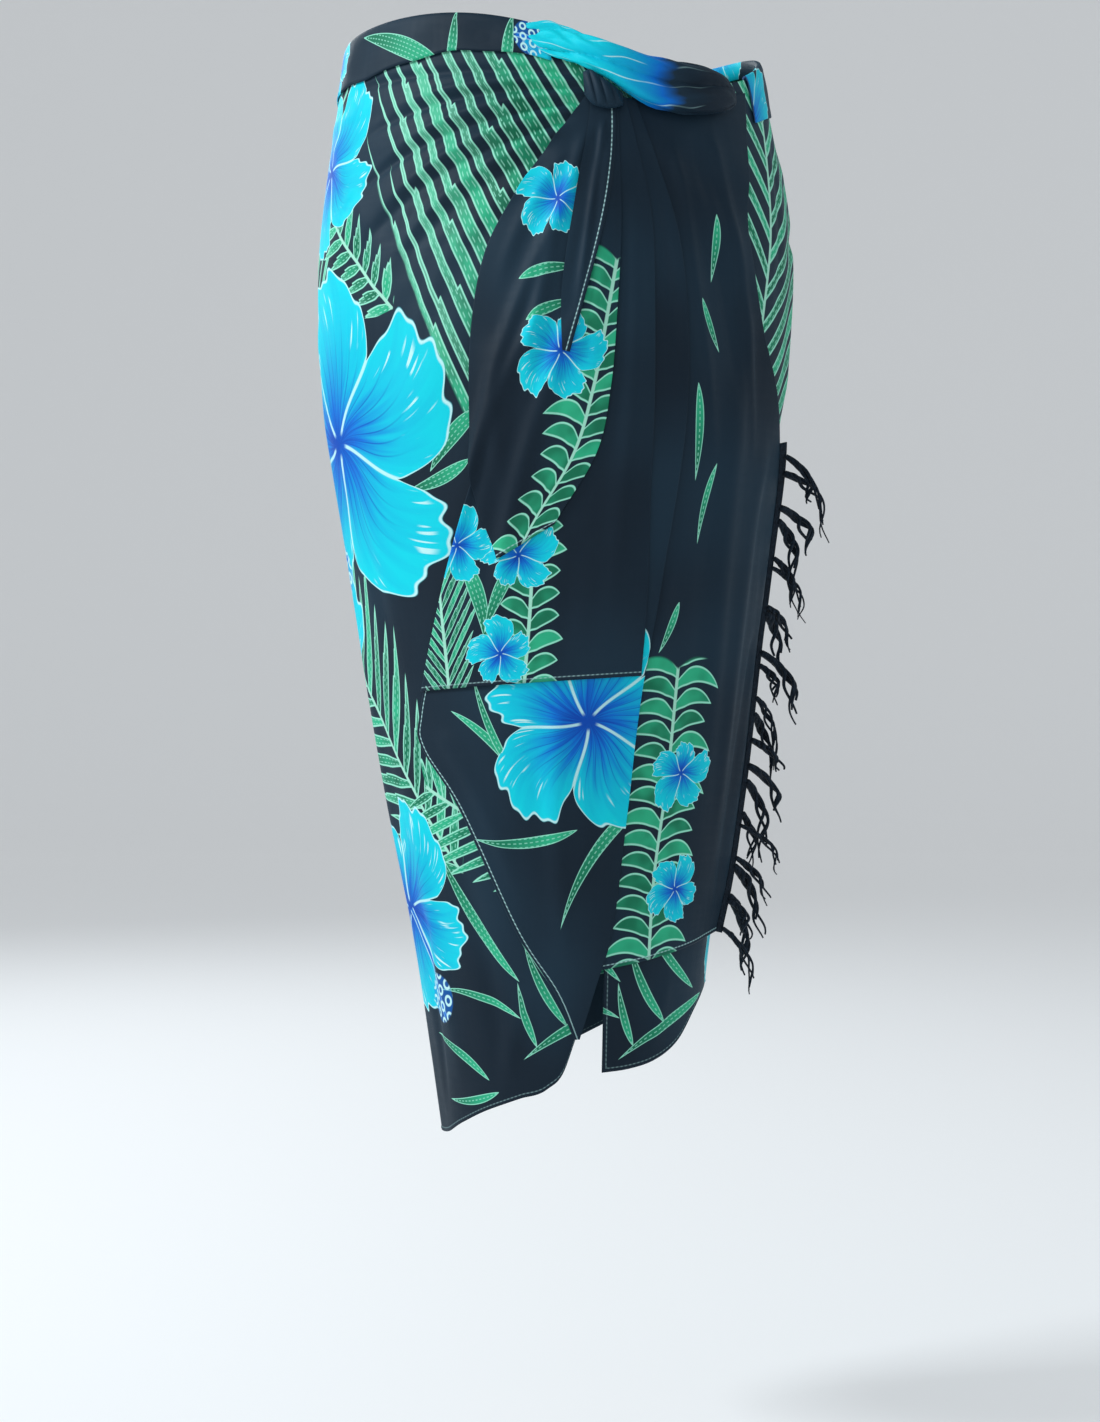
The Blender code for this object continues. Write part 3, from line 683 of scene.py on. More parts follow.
def edge_of_fringed_fall(share):
    at = share * (len(FRINGED_FALL) - 1)
    turn, height = fall_column(FRINGED_FALL, "right_turn", at), fall_column(FRINGED_FALL, "right_height", at)
    return turn, height, fringed_lift(turn, height)


def tube_parts(path, radii, sides, first):
    """Points and faces of a thin closed tube along a path."""
    run = np.gradient(path, axis=0)
    run /= np.linalg.norm(run, axis=1, keepdims=True)
    helper = np.array([0.31, 0.87, 0.38])
    a = np.cross(run, helper)
    a /= np.linalg.norm(a, axis=1, keepdims=True)
    b = np.cross(run, a)
    around = np.linspace(0, 2 * math.pi, sides, endpoint=False)
    ring = np.cos(around)[None, :, None] * a[:, None, :] + np.sin(around)[None, :, None] * b[:, None, :]
    points = path[:, None, :] + ring * np.asarray(radii)[:, None, None]
    index = first + np.arange(len(path) * sides).reshape(len(path), sides)
    faces = ring_quads(index).tolist()
    faces.append(index[0][::-1].tolist())
    faces.append(index[-1].tolist())
    return points.reshape(-1, 3), faces


def make_fringe(finish):
    """Twisted locks of yarn out of a narrow strip at the free edge, knotted near the root, frayed below."""
    points, faces = [], []

    def add(path, radii, sides):
        first = sum(len(block) for block in points)
        block, more = tube_parts(path, radii, sides, first)
        points.append(block)
        faces.extend(more)

    shares = np.linspace(FRINGE_FROM, 1.0, EDGE_STATIONS)
    turn, height, lift = edge_of_fringed_fall(shares)
    edge, normal = place(turn, height, lift + WALL), outward(turn, height)
    along = np.gradient(edge, axis=0)
    side = np.cross(along, normal)
    side /= np.linalg.norm(side, axis=1, keepdims=True)
    side *= np.sign((side[0] * (place(turn[0] + 1, height[0], lift[0] + WALL) - edge[0])).sum())
    curl = math.radians(STRIP_CURL)
    out = side * math.cos(curl) + normal * math.sin(curl)
    for step in np.linspace(0.0006, STRIP_WIDE, 5):
        add(edge + out * step, np.full(len(edge), 0.0008), 6)
    down = np.array([0, 0, -1.0])
    for lock in range(1, LOCKS + 1):
        at = int((lock - 0.5) / LOCKS * (EDGE_STATIONS - 1) + 2.4 * math.sin(2.9 * lock))
        swing = math.radians(LOCK_SWINGS[lock % len(LOCK_SWINGS)])
        away = side[at] * math.cos(swing) + normal[at] * math.sin(swing)
        cross = np.cross(away, down)
        length = LOCK_LENGTH * (1 + 0.22 * math.sin(2.3 * lock))
        droop = 1.05 + 0.30 * math.sin(1.7 * lock + 0.6)
        # Some locks cling to the edge and hang, and some stand off and are thicker.
        cling = 0.5 + 0.5 * math.sin(5.1 * lock + 1.0)
        stout = 0.95 + 0.75 * math.sin(3.7 * lock) ** 2
        share = np.linspace(0, 1, 30)
        kink = 0.0040 * np.sin(share * (6 + lock % 4) + lock * 2.1) * share
        middle = (edge[at] + out[at] * STRIP_WIDE)[None, :]
        reach = (1 - 0.45 * cling * share) * (0.62 * share + 0.10 * np.sin(3 * share))
        fall = (1 + 0.25 * cling) * (0.30 * share + 0.45 * share**2)
        middle = middle + np.outer(length * reach, away) + np.outer(kink, cross)
        middle = middle + np.outer(length * droop * fall, down) + np.outer(kink * 0.5, away)
        for strand in range(STRANDS_A_LOCK):
            phase = 2 * math.pi * strand / STRANDS_A_LOCK + lock
            twist = phase + share * (9 + 2.5 * math.sin(lock + strand))
            wave = 0.7 + 0.3 * np.sin(share * 8 + lock)
            spread = STRAND_OFF + LOCK_SWELL * stout * np.sin(math.pi * share) * wave
            fray = 0.5 + 0.5 * math.sin(3.1 * strand + lock)
            spread = spread + LOCK_FRAY * smooth_step(share, 0.70, 1.0) * fray
            path = middle + np.outer(np.cos(twist) * spread, cross) + np.outer(np.sin(twist) * spread, away)
            # Some strands end early, so that a lock thins out to a wisp.
            last = len(share) - (strand * 4 + lock) % 9
            add(path[:last], (stout * (STRAND_ROOT - STRAND_TAPER * share))[:last], 5)
        knot = middle[3:7]
        add(knot, np.array([0.0014, 0.0024, 0.0024, 0.0014]), 7)
    made = new_mesh("yarn_fringe", np.concatenate(points), faces, finish)
    for map_name in ("cloth", "OFBake"):
        made.data.uv_layers.new(name=map_name)
    lay_strip_map(made.data, "OFBake")
    return made


def lay_strip_map(mesh, name):
    """Gives each face its own small square of the map."""
    cells = math.ceil(math.sqrt(len(mesh.polygons)))
    corner = ((0.1, 0.1), (0.9, 0.1), (0.9, 0.9), (0.1, 0.9), (0.1, 0.6), (0.1, 0.4), (0.1, 0.3))
    layer = mesh.uv_layers[name]
    for face in mesh.polygons:
        row, cell = divmod(face.index, cells)
        for place_in_face, loop in enumerate(face.loop_indices):
            u, v = corner[place_in_face]
            layer.data[loop].uv = ((cell + u) / cells, (row + v) / cells)


class Wire:
    """One value in a shader tree, so that a formula can be written as it is read."""

    def __init__(self, tree, socket):
        self.tree = tree
        self.socket = socket

    def math(self, operation, *others):
        return number(operation, self, *others)

    def __add__(self, other):
        return self.math("ADD", other)

    __radd__ = __add__

    def __mul__(self, other):
        return self.math("MULTIPLY", other)

    __rmul__ = __mul__

    def __sub__(self, other):
        return self.math("SUBTRACT", other)

    def __rsub__(self, other):
        return number("SUBTRACT", other, self)

    def __truediv__(self, other):
        return self.math("DIVIDE", other)

    def __pow__(self, other):
        return self.math("POWER", other)


def join(value, socket):
    if isinstance(value, Wire):
        value.tree.links.new(value.socket, socket)
    else:
        socket.default_value = value


def tree_of(values):
    return next(value.tree for value in values if isinstance(value, Wire))


def made_by(kind, inputs, output=0, **settings):
    """The wire out of a new shader node that has these settings, with wires or plain values as its inputs."""
    tree = tree_of(inputs.values())
    node = tree.nodes.new(kind)
    for name, value in settings.items():
        setattr(node, name, value)
    for name, value in inputs.items():
        join(value, node.inputs[name])
    return Wire(tree, node.outputs[output])


def number(operation, *values):
    return made_by("ShaderNodeMath", dict(enumerate(values)), operation=operation)


def soft(value, low, high):
    """0 below low, 1 above high, and a smooth step between."""
    return made_by("ShaderNodeMapRange", {0: value, 1: low, 2: high}, interpolation_type="SMOOTHSTEP")


def fade(value, low, high):
    """1 below low, 0 above high, and a smooth step between."""
    return 1.0 - soft(value, low, high)


def blend(share, below, above):
    return made_by("ShaderNodeMix", {0: share, 6: below, 7: above}, 2, data_type="RGBA")


def colour_run(value, stops):
    """Colours along a value: (place, colour) stops."""
    node = value.tree.nodes.new("ShaderNodeValToRGB")
    ramp = node.color_ramp
    while len(ramp.elements) < len(stops):
        ramp.elements.new(0.5)
    for element, (at, colour) in zip(ramp.elements, stops):
        element.position = at
        element.color = colour
    join(value, node.inputs[0])
    return Wire(value.tree, node.outputs[0])


def noise(x, y, z, detail=1.0):
    """Smooth noise. Its places are scaled before they come here, so the node's own scale is 1."""
    point = made_by("ShaderNodeCombineXYZ", {0: x, 1: y, 2: z})
    return made_by("ShaderNodeTexNoise", {"Vector": point, "Scale": 1.0, "Detail": detail}, "Fac")


def random_by(value):
    return made_by("ShaderNodeTexWhiteNoise", {"W": value}, "Value", noise_dimensions="1D")


def new_group(name, inputs, outputs):
    """A shader node group with named sockets. Returns its tree and the wires of its inputs."""
    tree = bpy.data.node_groups.new(name, "ShaderNodeTree")
    kinds = {float: "NodeSocketFloat", tuple: "NodeSocketColor"}
    for socket_name, default in inputs.items():
        socket = tree.interface.new_socket(socket_name, in_out="INPUT", socket_type=kinds[type(default)])
        socket.default_value = default
    for socket_name, kind in outputs.items():
        tree.interface.new_socket(socket_name, in_out="OUTPUT", socket_type=kinds[kind])
    start = tree.nodes.new("NodeGroupInput")
    return tree, {name: Wire(tree, start.outputs[name]) for name in inputs}


def end_group(tree, **wires):
    end = tree.nodes.new("NodeGroupOutput")
    for name, wire in wires.items():
        tree.links.new(wire.socket, end.inputs[name])
    return tree


def use_group(group, **values):
    """The wires out of a group, by name."""
    tree = tree_of(values.values())
    node = tree.nodes.new("ShaderNodeGroup")
    node.node_tree = group
    for name, value in values.items():
        join(value, node.inputs[name])
    return {socket.name: Wire(tree, socket) for socket in node.outputs}


MOTIF = {
    "Below": (0.0, 0.0, 0.0, 1.0), "Along": 0.0, "Up": 0.0, "Girth": 1.0,
    "Centre_along": 0.0, "Centre_up": 0.0, "Turn": 0.0, "Repeat": NO_REPEAT,
}


def motif_place(given):
    """The place on the cloth seen from the motif's own centre and turn, in metres."""
    half = given["Repeat"] * 0.5
    x = number("WRAP", given["Along"] - given["Centre_along"], half, half * -1.0)
    x = x * given["Girth"]
    y = given["Up"] - given["Centre_up"]
    cosine, sine = given["Turn"].math("COSINE"), given["Turn"].math("SINE")
    return x * cosine + y * sine, y * cosine - x * sine


def hibiscus_group():
    """A five-petalled flower: streaked petals with pale veins, outlines and strokes near their edges."""
    own = {"Size": 0.1, "Seed": 0.0, "Stamen": 0.0}
    tree, given = new_group("hibiscus", {**MOTIF, **own}, {"Colour": tuple})
    x, y = motif_place(given)
    x, y = x / given["Size"], y / given["Size"]
    r = (x * x + y * y).math("SQRT")
    fifths = (y.math("ARCTAN2", x) + 0.25 * (r * 3.0).math("SINE")) * (5 / (2 * math.pi))
    petal = fifths.math("ROUND")
    t = fifths - petal
    aside = t.math("ABSOLUTE")
    luck = random_by(number("WRAP", petal, 5.0, 0.0) + given["Seed"])
    ruffle = 0.030 * (t * 21.0 + petal * 2.4 + given["Seed"]).math("SINE")
    ruffle = ruffle + 0.016 * (t * 47.0 + petal).math("SINE")
    edge = (0.84 + 0.26 * luck) * (1.0 - 0.40 * (aside * 2.0) ** 3.2) + ruffle
    inside = soft(edge - r, 0.0, 0.012)
    rim = inside * fade(edge - r, 0.018, 0.032)
    depth = r / edge
    streak = noise(t * 13.0, r * 1.5, petal * 5.0 + given["Seed"], detail=2.0)
    tone = depth * 1.02 + (streak - 0.5) * 0.62 + (luck - 0.5) * 0.16
    petals = colour_run(tone, (
        (0.06, DEEP_BLUE), (0.24, MID_BLUE), (0.46, SEA_BLUE), (0.66, CYAN), (1.0, BRIGHT_CYAN)))
    veins = (t * 8.0 + 0.4 * (r * 5.0 + petal).math("SINE")).math("FRACT") - 0.5
    veins = fade(veins.math("ABSOLUTE"), 0.02, 0.10) * fade(depth, 0.30, 0.78) * 0.75
    petals = blend(veins, petals, DEEP_BLUE)
    stroke = noise(t * 40.0, r * 2.6, petal * 9.0 + given["Seed"], detail=0.0)
    patch = noise(t * 5.0, r * 3.0, petal * 3.0 + 7.0, detail=0.0)
    near_edge = soft(depth, 0.62, 0.74) * fade(depth, 0.88, 0.95)
    stroke = soft(stroke, 0.60, 0.66) * near_edge * soft(patch, 0.50, 0.58)
    petals = blend(stroke, petals, PALE)
    seam = (0.5 - aside) * (2 * math.pi / 5) * r
    seam = fade(seam, 0.006, 0.017) * soft(r, 0.05, 0.10)
    petals = blend(seam * 0.92, petals, PALE)
    petals = blend(rim, petals, PALE)
    colour = blend(inside, given["Below"], petals)
    # The stamen column leans out of the middle, with a cluster of small rings round its end.
    out = x * 0.94 + y * 0.34
    off = x * 0.34 - y * 0.94 - 0.10 * out * out
    from_edge = 0.035 - off.math("ABSOLUTE")
    stem = soft(from_edge, 0.0, 0.010) * soft(out, 0.0, 0.02) * fade(out, 1.02, 1.05) * given["Stamen"]
    colour = blend(stem, colour, MID_BLUE)
    colour = blend(stem * fade(from_edge, 0.012, 0.020), colour, PALE)
    ring_x = (out * 8.0).math("FRACT") - 0.5
    ring_y = (off * 8.0 + (out * 8.0).math("FLOOR") * 0.5).math("FRACT") - 0.5
    ring = ((ring_x * ring_x + ring_y * ring_y).math("SQRT") - 0.30).math("ABSOLUTE")
    cluster = fade(((out - 0.86) ** 2.0 + off * off).math("SQRT"), 0.20, 0.22) * given["Stamen"]
    colour = blend(cluster * 0.5, colour, MID_BLUE)
    colour = blend(cluster * fade(ring, 0.06, 0.13), colour, PALE)
    return end_group(tree, Colour=colour)


def frond_group():
    """Leaflets off both sides of a midrib: a palm frond with stepped stripes, or a border of arched ones."""
    tree, given = new_group("frond", {
        **MOTIF, "Length": 0.3, "Reach": 0.1, "Spacing": 0.02, "Lean": 0.8, "Curl": 2.0, "Fill": 0.7,
        "Taper": 1.0, "Blunt": 3.0, "Stepped": 0.0, "Dotted": 1.0, "Seed": 0.0,
        "Rib": (0.33, 0.68, 0.53, 1.0)}, {"Colour": tuple})
    x, y = motif_place(given)
    side = y.math("SIGN")
    d = y.math("ABSOLUTE")
    root = x - d * given["Lean"] - d * d * given["Curl"]
    q = root / given["Spacing"] + side * 0.23
    leaflet = q.math("FLOOR")
    s = q - leaflet - 0.5
    luck = random_by(leaflet + side * 31.0 + given["Seed"])
    share = root / given["Length"]
    arch = number("MAXIMUM", 1.0 - (share * 2.0 - 1.0) ** 2.0, 0.0).math("SQRT")
    reach = given["Reach"] * (0.80 + 0.30 * luck) * (arch * given["Taper"] + 1.0 - given["Taper"]) + 0.0001
    along = number("MINIMUM", d / reach, 1.0)
    wide = given["Fill"] * 0.5 * (1.0 - along ** given["Blunt"]) * (0.62 + 0.38 * soft(along, 0.0, 0.30))
    step_at = 0.42 + 0.26 * luck
    step = (soft(along, step_at, step_at + 0.012) + soft(along, step_at + 0.22, step_at + 0.232)) * 0.5
    upper = wide * (1.0 - 1.1 * given["Stepped"] * step)
    from_edge = number("MINIMUM", s + wide, upper - s)
    ends = soft(share, 0.0, 0.01) * fade(share, 0.99, 1.0) * fade(along, 0.985, 1.0)
    inside = soft(from_edge, 0.0, 0.04) * ends
    line = inside * fade(from_edge, 0.08, 0.14)
    shade = noise(x * 60.0, y * 60.0, luck * 9.0, detail=1.0)
    leaf = blend(soft(shade * 0.7 + luck * 0.5, 0.30, 0.80), LEAF_DARK, LEAF_BRIGHT)
    leaf = blend(soft(along, 0.35, 1.0) * given["Stepped"] * 0.55, leaf, MINT)
    row = ((s + wide) / (upper + wide) * 3.0 - 0.5).math("FRACT") - 0.5
    dots = fade(row.math("ABSOLUTE"), 0.07, 0.17) * soft((d * 1500.0).math("SINE"), -0.5, 0.1)
    leaf = blend(dots * given["Dotted"] * 0.75, leaf, MINT)
    leaf = blend(line, leaf, MINT)
    colour = blend(inside, given["Below"], leaf)
    rib = fade(d, 0.0009, 0.0016) * soft(share, 0.0, 0.01) * fade(share, 0.99, 1.0)
    return end_group(tree, Colour=blend(rib, colour, given["Rib"]))


def blade_group():
    """One long bowed leaf with a pale outline and dotted lines along it."""
    own = {"Length": 0.1, "Width": 0.012, "Bend": 0.0}
    tree, given = new_group("blade", {**MOTIF, **own}, {"Colour": tuple})
    x, y = motif_place(given)
    share = x / given["Length"] * 2.0
    y = y - given["Bend"] * x * x
    swell = number("MAXIMUM", 1.0 - share * share, 0.0) ** 0.8
    half = given["Width"] * 0.5 * swell * (1.0 + 0.35 * share)
    from_edge = half - y.math("ABSOLUTE")
    inside = soft(from_edge, 0.0, 0.0003)
    line = inside * fade(from_edge, 0.0005, 0.0010)
    leaf = blend(soft(share, -0.8, 0.8), LEAF_DARK, LEAF_BRIGHT)
    rows = (y * 330.0 + 0.5).math("FRACT") - 0.5
    dots = fade(rows.math("ABSOLUTE"), 0.08, 0.18) * soft((x * 1500.0).math("SINE"), -0.4, 0.2)
    leaf = blend(dots * 0.7, leaf, MINT)
    leaf = blend(line, leaf, MINT)
    return end_group(tree, Colour=blend(inside, given["Below"], leaf))


def hem_group():
    """A narrow rolled hem, sewn with pale dotted stitches, with painted shade along its roll."""
    tree, given = new_group("rolled_hem", {
        "Below": (0.0, 0.0, 0.0, 1.0), "From_hem": FAR_FROM_HEM, "Along_hem": 0.0, "Show": 1.0},
        {"Colour": tuple, "Height": float})
    near = fade(given["From_hem"], 0.0030, 0.0034)
    row = fade((given["From_hem"] - 0.0029).math("ABSOLUTE"), 0.0002, 0.0006)
    stitch = (given["Along_hem"] * (1 / STITCH)).math("FRACT")
    stitch = (0.35 + 0.65 * soft(stitch, 0.05, 0.20) * fade(stitch, 0.55, 0.70)) * row
    # Painted shade: the hem's roll is darkened a little towards the dark ground colour.
    colour = blend(near * 0.35, given["Below"], NIGHT)
    colour = blend(stitch * given["Show"], colour, PALE)
    pucker = 0.5 * row * (given["Along_hem"] * (2 * math.pi / STITCH)).math("SINE")
    return end_group(tree, Colour=colour, Height=near * 0.4 - row * 0.5 + pucker)


def weave_group():
    """Plain rayon: fine threads both ways, slubs, and the slight crumple of worn cloth."""
    tree, given = new_group("rayon_weave", {"Along": 0.0, "Up": 0.0}, {"Height": float, "Tone": float})
    threads = 2 * math.pi / THREAD
    warp, weft = (given["Along"] * threads).math("SINE"), (given["Up"] * threads).math("SINE")
    weave = warp * weft
    slub = noise(given["Along"] * 260.0, given["Up"] * 26.0, 0.0, detail=1.0)
    slub = slub + noise(given["Along"] * 26.0, given["Up"] * 260.0, 4.0, detail=1.0)
    crumple = noise(given["Along"] * 34.0, given["Up"] * 22.0, 1.0, detail=2.0)
    height = weave * 0.10 + slub * 0.22 + crumple * 3.0
    return end_group(tree, Height=height, Tone=slub - 1.0)


Flower = namedtuple("Flower", "along up turn size seed stamen")
Frond = namedtuple(
    "Frond", "along up turn length reach spacing lean curl fill taper blunt stepped dotted seed")
Blade = namedtuple("Blade", "along up turn length width bend")

WRAP_PRINT = table(Frond, (
    (60, -420, 1.45, 520, 235, 27, 1.2, 1.6, 0.72, 0.1, 14, 1, 1, 1),
    (-82, -196, 2.35, 120, 36, 16, 0.6, 1, 0.74, 0.6, 4, 0.7, 1, 6),
    (-66, -610, 2.2, 270, 75, 19, 0.8, 2, 0.7, 0.8, 5, 0.4, 1, 5),
    (79, -610, 2.7, 150, 60, 17, 0.9, 1, 0.66, 0.9, 4, 0, 1, 13),
)) + table(Blade, (
    (-36, -292, 0.8, 62, 12, -3), (-50, -322, 0.35, 60, 10, 4), (24, -690, -1.1, 70, 7, 3),
    (54, -670, -0.85, 80, 7, 3), (2, -712, -1.3, 50, 6, 3), (-62, -640, -1, 120, 9, 1.6),
    (-108, -744, -0.42, 70, 7, -4), (-92, -780, 0.2, 60, 6.5, 4), (-64, -700, -0.2, 80, 6, -4),
    (60, -720, 0.5, 90, 8, -2),
)) + table(Flower, (
    (-167, -287, 0.44, 125, 2, 0), (-180, -78, 0.9, 66, 6, 0), (-182, -640, -1.4, 83, 11, 1),
    (130, -420, 0.2, 110, 17, 1),
))
BAND_PRINT = table(Blade, (
    (-89, 38, 0.3, 108, 15, 1), (-35, 33, 1.66, 46, 8.5, 0), (13, 22, 1.72, 44, 9, 0),
    (54, 21, 2.6, 30, 10, 0), (110, 45, 0.4, 90, 14, 1), (180, 40, 1.3, 60, 10, 0),
)) + table(Flower, (
    (-206, 34, 0.2, 46, 4, 0), (79, 4, 2.72, 58, 9, 1),
))
# A fern border's columns, from its leaflets' spacing to its dots, and the turn that stands it upright.
FERN = (15.8, 0.95, -26, 0.86, 0, 4, 0, 0)
UPRIGHT = math.pi / 2
FRINGED_PRINT = table(Frond, (
    (40, -720, UPRIGHT, 262, 36, *FERN, 3),
)) + table(Blade, (
    (40, -290, 1.62, 70, 6.5, 1), (50, -340, 1.4, 60, 5, -2),
)) + table(Flower, (
    (52, -535, 0.4, 27, 3, 0), (60, -620, 1.2, 26, 8, 0),
)) + table(Blade, (
    (58, -160, 1.4, 50, 6, 2), (48, -215, 1.9, 40, 6, -2), (30, -430, 1.2, 40, 6, 3),
))
LONG_PRINT = table(Blade, (
    (0, -520, 2.3, 100, 7, 4), (18, -585, 0.1, 80, 8, 4), (96, -585, 0.95, 135, 8.5, -3),
    (-12, -500, -1.2, 80, 6, 2.5), (30, -690, -1.1, 75, 12, 1),
)) + table(Flower, (
    (82, -497, 0.35, 86, 31, 0),
))
SHORT_PRINT = table(Frond, (
    (-84, -520, UPRIGHT, 215, 26, *FERN, 2),
    (-140, -500, 1.75, 170, 34, 11, 1.4, 0, 0.7, 0.3, 8, 0.4, 1, 7),
)) + table(Blade, (
    (-124, -408, 1.95, 78, 12, 3), (-108, -405, 1.15, 60, 10, -3),
)) + table(Flower, (
    (-104, -448, 0.6, 26, 1, 0), (-94, -378, 1.8, 28, 2, 0), (-142, -370, 0.2, 28, 5, 0),
))
WIDE_PRINT = table(Frond, (
    (-30, -400, 1.45, 230, 32, *FERN, 5),
)) + table(Blade, (
    (-52, -178, 3.3, 46, 8.5, 5), (-50, -205, 3.5, 40, 8, 5),
)) + table(Flower, (
    (-46, -128, 1.4, 30, 1, 0), (-40, -236, 1.4, 34, 4, 0),
))


def spread_along(row):
    """How far a motif reaches back and on along the cloth from its own centre."""
    girth = float(girth_share(row.up))
    if isinstance(row, Flower):
        return 1.1 * row.size / girth, 1.1 * row.size / girth
    if isinstance(row, Frond):
        tip = row.length * math.cos(row.turn)
        return (1.3 * row.reach - min(tip, 0)) / girth, (1.3 * row.reach + max(tip, 0)) / girth
    return row.length / girth, row.length / girth


def rows_of_zone(rows, zone):
    """The motifs that reach one zone of the print's repeat."""
    low = (zone / ZONES - 0.5) * REPEAT
    high = low + REPEAT / ZONES
    kept = []
    for row in rows:
        back, on = spread_along(row)
        places = [row.along + shift for shift in (-REPEAT, 0, REPEAT)]
        if any(at + on > low and at - back < high for at in places):
            kept.append(row)
    return kept


def split(tree, socket):
    """The parts of a vector."""
    parts = tree.nodes.new("ShaderNodeSeparateXYZ")
    tree.links.new(socket, parts.inputs[0])
    return [Wire(tree, part) for part in parts.outputs]


def uv_pair(tree, map_name):
    node = tree.nodes.new("ShaderNodeUVMap")
    node.uv_map = map_name
    return split(tree, node.outputs[0])[:2]


def new_finish(name):
    """A material, its tree and its shader."""
    made = bpy.data.materials.new(name)
    made.use_nodes = True
    return made, made.node_tree, made.node_tree.nodes["Principled BSDF"]


def set_shader(shader, colour, roughness, height, strength, distance, **sheen):
    """Joins a finish's colour, roughness and bump to its shader, and sets its dull shine and its sheen."""
    tree = colour.tree
    bump = tree.nodes.new("ShaderNodeBump")
    bump.inputs["Strength"].default_value = strength
    bump.inputs["Distance"].default_value = distance
    join(height, bump.inputs["Height"])
    tree.links.new(bump.outputs[0], shader.inputs["Normal"])
    join(colour, shader.inputs["Base Color"])
    join(roughness, shader.inputs["Roughness"])
    shader.inputs["Specular IOR Level"].default_value = 0.14
    for name, value in sheen.items():
        shader.inputs["Sheen " + name].default_value = value


def printed_cloth(name, groups, rows, repeat, stitches):
    """Rayon with a print laid out by a table, its hem and its weave. The wrong side is duller and darker."""
    made, tree, shader = new_finish(name)
    along, up = uv_pair(tree, "cloth")
    girth, right_side = uv_pair(tree, "girth")
    from_hem, along_hem = uv_pair(tree, "hem")
    patches = noise(along * 7.0, up * 7.0, 2.0, detail=1.0)
    colour = blend(soft(patches, 0.3, 0.7), NIGHT, GROUND)
    for row in rows:
        own = {field.capitalize(): getattr(row, field) for field in row._fields[3:]}
        used = use_group(
            groups[type(row)], Below=colour, Along=along, Up=up, Girth=girth, Centre_along=row.along,
            Centre_up=row.up, Turn=row.turn, Repeat=repeat, **own)
        colour = used["Colour"]
    hem = use_group(groups["hem"], Below=colour, From_hem=from_hem, Along_hem=along_hem, Show=stitches)
    weave = use_group(groups["weave"], Along=along, Up=up)
    wrong = blend(0.45, hem["Colour"], WRONG_SIDE)
    colour = blend(right_side, wrong, hem["Colour"])
    set_shader(shader, colour, 0.60 + weave["Tone"] * 0.10, weave["Height"] + hem["Height"], 0.30, 0.0004,
               **RAYON_SHEEN)
    return made


def rolled_cloth(name, groups):
    """The bright part of the print where it is twisted into the roll: pale to deep blue along it."""
    made, tree, shader = new_finish(name)
    along, up = uv_pair(tree, "cloth")
    streak = noise(along * 16.0, up * 60.0, 3.0, detail=2.0)
    tone = soft(along, 0.060, 0.178) + (streak - 0.5) * 0.45
    colour = colour_run(tone, (
        (0.0, BRIGHT_CYAN), (0.22, CYAN), (0.42, SEA_BLUE), (0.60, MID_BLUE), (0.74, GROUND), (0.90, NIGHT)))
    # The pale outlines of the print, drawn out into thin lines along the twist.
    drift = noise(along * 22.0, up * 30.0, 8.0)
    line = (up * 190.0 + drift * 5.0 + along * 30.0).math("SINE").math("ABSOLUTE")
    broken = soft(noise(along * 34.0, up * 60.0, 2.0), 0.42, 0.56)
    stroke = fade(line, 0.05, 0.16) * broken * fade(along, 0.11, 0.17) * 0.8
    colour = blend(stroke, colour, PALE)
    weave = use_group(groups["weave"], Along=along, Up=up)
    set_shader(shader, colour, 0.58 + weave["Tone"] * 0.10, weave["Height"], 0.5, 0.0004, **RAYON_SHEEN)
    return made


def yarn(name):
    """Dark twisted yarn, fuzzy and matt."""
    made, tree, shader = new_finish(name)
    spot = tree.nodes.new("ShaderNodeTexCoord")
    x, y, z = split(tree, spot.outputs["Object"])
    fibre = noise(x * 900.0, y * 900.0, z * 500.0, detail=2.0)
    colour = blend(soft(fibre, 0.35, 0.70), YARN_DARK, YARN_LIGHT)
    set_shader(shader, colour, 0.78 + fibre * 0.15, fibre, 0.7, 0.0003, Weight=0.08)
    return made


def glowing(name, colour, roughness, glow):
    """A plain finish with a little white light of its own."""
    made, tree, shader = new_finish(name)
    shader.inputs["Base Color"].default_value = colour
    shader.inputs["Roughness"].default_value = roughness
    shader.inputs["Emission Color"].default_value = (1.0, 1.0, 1.0, 1.0)
    shader.inputs["Emission Strength"].default_value = glow
    return made


CAMERA_AZIMUTH = math.radians(20.0)
CAMERA_DISTANCE = 1.70
CAMERA_HEIGHT = -0.490
CAMERA_LENS = 55.95
FLOOR = -1.045


def make_camera():
    camera = bpy.data.cameras.new("view")
    camera.sensor_fit = "AUTO"
    camera.sensor_width = 36.0
    camera.lens = CAMERA_LENS
    made = new_object("view", camera)
    back = Vector((math.sin(CAMERA_AZIMUTH), -math.cos(CAMERA_AZIMUTH), 0))
    made.location = back * CAMERA_DISTANCE + Vector((0, 0, CAMERA_HEIGHT))
    made.rotation_euler = (math.radians(90), 0, CAMERA_AZIMUTH)
    bpy.context.scene.camera = made


